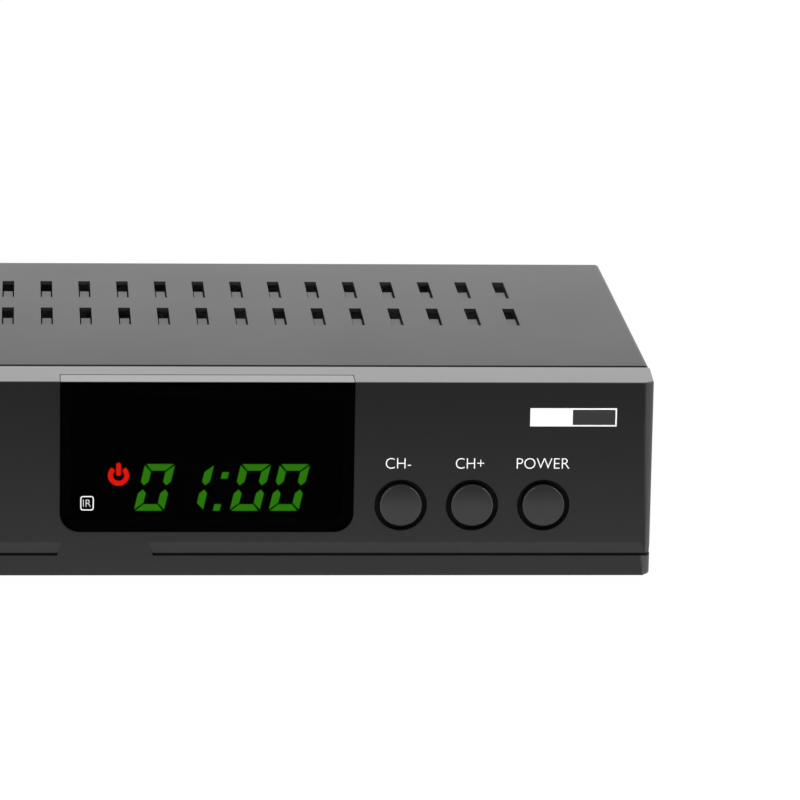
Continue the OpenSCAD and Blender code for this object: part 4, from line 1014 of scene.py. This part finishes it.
# two memory chips, one behind the other, and a chip with four legs to a side
upright = two_rows("memory_rows", (-68.33, 44, 0), (-58.33, 58, 0), 16, 0.8, 0.6)
front_chip = quarter_turned(upright, "memory_legs", -63.33, 51)
bpy.data.objects.remove(upright)
small_chip = two_rows("small_chip_legs", (-21.33, 55, 0), (-16.33, 61, 0), 4, 1.27)
rear_chip = copied(front_chip, "memory_legs_behind", (0, 14, 0))
on_the_case(as_one("memory_legs", front_chip, rear_chip, small_chip), "bright_metal")

# rows of chip parts, by their middles
CHIP_PARTS = (
    [(-52.6, 49 + 2 * i) for i in range(10)]
    + [(-24.8, 48 + 2.4 * i) for i in range(8)]
    + [(-47 + 2.2 * i, 44) for i in range(9)]
    + [(-47 + 2.6 * i, 72.5) for i in range(8)]
    + [(x, 50 + 3 * i) for x in (-12, -8.5, -5) for i in range(5)]
    + [(x, 50 + 5 * i) for x in (-94, -89, -84, -79) for i in range(3)]
)


def chip_part(x, y):
    """A small block soldered at its two plated ends."""
    pieces = [
        brick(name, (x + left, y - 0.4, BOARD_TOP), (x + right, y + 0.4, BOARD_TOP + 0.5), 0.04)
        for name, left, right in (("chip_part", -0.49, 0.49), ("left_end", -0.8, -0.5), ("right_end", 0.5, 0.8))
    ]
    return as_one("chip_part", *pieces)


def plated_end(p, n):
    """Whether a face is on one of the ends, 0.5 to 0.8 from the middle of its chip part."""
    off = min(abs(abs(p.x - x) - 0.65) for x, y in CHIP_PARTS if abs(p.y - y) < 0.5)
    return off < 0.16


x, y = CHIP_PARTS[0]
first = chip_part(x, y)
copies = [copied(first, f"chip_part_{i}", (px - x, py - y, 0)) for i, (px, py) in enumerate(CHIP_PARTS) if i]
chip_parts = on_the_case(as_one("chip_parts", first, *copies), "chip_epoxy")
second_finish(chip_parts, FINISHES["bright_metal"], plated_end)

# radius and place along the axis, from the left lead over the body to the right lead
RESISTOR = (
    (0, -4.6), (0.3, -4.6), (0.3, -3.2), (0.8, -3.2), (1.15, -2.9), (1.15, -2), (0.95, -1.7), (0.95, 1.7), (1.15, 2),
    (1.15, 2.9), (0.8, 3.2), (0.3, 3.2), (0.3, 4.6), (0, 4.6),
)
RESISTOR_PIN = ((0, 0), (0.3, 0), (0.3, 1.5), (0, 1.5))
RESISTOR_UP = 1.2  # its axis, above the board
RESISTORS = ((47, 39.8), (47, 43.2), (62, 39.8), (76, 43), (76, 46.4))


def on_its_body(p, n):
    """Whether a face is on a resistor's body and not on its leads."""
    return any(
        abs(p.x - x) < 3.15 and abs(p.y - y) < 1.5 and math.hypot(p.y - y, p.z - BOARD_TOP - RESISTOR_UP) > 0.4
        for x, y in RESISTORS
    )


x, y = RESISTORS[0]
body = turned("resistor", RESISTOR, spot(x, y, BOARD_TOP + RESISTOR_UP), "X", 20)
pins = [
    turned(f"resistor_pin_{i}", RESISTOR_PIN, spot(x + end, y, BOARD_TOP), "Z", 12)
    for i, end in enumerate((-4.3, 4.3))
]
first = as_one("resistors", body, *pins)
copies = [copied(first, f"resistor_{i}", (px - x, py - y, 0)) for i, (px, py) in enumerate(RESISTORS[1:])]
resistors = on_the_case(as_one("resistors", first, *copies), "bright_metal")
second_finish(resistors, RESISTOR_PAINT, on_its_body)

# the gold contacts in the digital video socket, ten over nine
CONTACT_STEP = 1.03
strip = brick("video_contact", (-46.6, 105, 11.1), (-46.25, 111.2, 11.16), 0.015)
strips = [strip] + [copied(strip, f"video_contact_{i}", (i * CONTACT_STEP, 0, 0)) for i in range(1, 10)]
below = [copied(strip, f"video_contact_below_{i}", (0.5 + i * CONTACT_STEP, 0, -1.06)) for i in range(9)]
on_the_case(as_one("video_contacts", *strips, *below), "gold_contact")

# ------------------------------------------------------- what else is dressed

# the width of each solid's rounded edges
EDGES = {
    "base_tray": 0.08,
    "usb_shell": 0.06,
    "usb_contacts": 0.06,
    "tuner_can": 0.08,
    "tuner_lid": 0.08,
    "aerial_socket": 0.12,
    "aerial_contact": 0.12,
    "loop_socket": 0.1,
    "loop_pin": 0.12,
    "av_block": 0.25,
    "av_barrels": 0.1,
    "video_insert": 0.12,
    "left_audio_insert": 0.12,
    "right_audio_insert": 0.12,
    "hdmi_shell": 0.08,
    "hdmi_contacts": 0.08,
    "mains_inlet": 0.2,
    "mains_pins": 0.15,
    "cover_screws": 0.08,
    "rubber_feet": 0.3,
    "heatsink": 0.08,
    "processor": 0.1,
    "memory_chips": 0.08,
    "crystal": 0.3,
    "board_connectors": 0.2,
    "heat_spreaders": 0.12,
    "transformer_core": 0.2,
    "transformer_bobbin": 0.2,
    "tact_switches": 0.15,
    "bulk_capacitor": 0.5,
    "output_capacitors": 0.3,
    "board_capacitors": 0.3,
    "line_choke": 0.3,
    "mains_fuse": 0.2,
    "standby_lamp": 0.15,
    "ir_receiver": 0.15,
    "display_module": 0.2,
}
finished_pieces = {node: dressed(node, f"{node}_finished", (width, None, 2)) for node, width in EDGES.items()}


def gold_strip(p, n):
    """The contacts under the USB socket's tongue."""
    return p.z < 14.34 and 1.9 < p.y < 9.1 and n.z < 0


second_finish(finished_pieces["usb_contacts"], FINISHES["gold_contact"], gold_strip)

# --------------------------------------------------------------------- stage

WORLD_LEVEL = 0.6  # the strength of the light from all round, which is white where it is seen
FLOOR_WHITE = 0.99  # how nearly the floor is plain white where it is seen


def seen_directly(f):
    """1 for what the camera sees straight, mirrored or through glass."""
    kinds = ("Is Camera Ray", "Is Glossy Ray", "Is Transmission Ray")
    straight, mirrored, through = (f.node("ShaderNodeLightPath", output=kind) for kind in kinds)
    return straight.math("MAXIMUM", mirrored).math("MAXIMUM", through)


def studio():
    world = bpy.data.worlds.new("studio")
    world.use_nodes = True
    bpy.context.scene.world = world
    f = Finish(world.node_tree)
    level = seen_directly(f) * (1 - WORLD_LEVEL) + WORLD_LEVEL
    glow = f.node("ShaderNodeBackground", None, {"Color": (1, 1, 1, 1), "Strength": level})
    f.onto(glow, "ShaderNodeOutputWorld")


def floor():
    ground = start("plane", size=12)
    ground.name = "floor"
    made, f = finish("pale floor")
    paper = f.node("ShaderNodeBsdfDiffuse", None, {"Color": (0.86, 0.86, 0.86, 1)})
    white = f.node("ShaderNodeEmission", None, {"Color": (1, 1, 1, 1), "Strength": 1.0})
    f.onto(f.node("ShaderNodeMixShader", None, {0: seen_directly(f) * FLOOR_WHITE, 1: paper, 2: white}))
    ground.data.materials.append(made)


def softbox(name, place, size, power):
    """A rectangular lamp turned to the middle of the floor."""
    data = bpy.data.lights.new(name, "AREA")
    data.shape = "RECTANGLE"
    data.size, data.size_y = size
    data.energy = power
    lamp = bpy.data.objects.new(name, data)
    bpy.context.collection.objects.link(lamp)
    lamp.location = place
    lamp.rotation_mode = "QUATERNION"
    lamp.rotation_quaternion = (-Vector(place)).to_track_quat("-Z", "Y")


bpy.context.scene.view_settings.view_transform = "Standard"
studio()
floor()
softbox("overhead", (0.1, -0.5, 1.4), (1.6, 1.0), 22)
softbox("left_strip", (-0.9, -0.3, 0.7), (0.3, 0.9), 3)
softbox("right_strip", (0.9, -0.3, 0.7), (0.3, 0.9), 3)
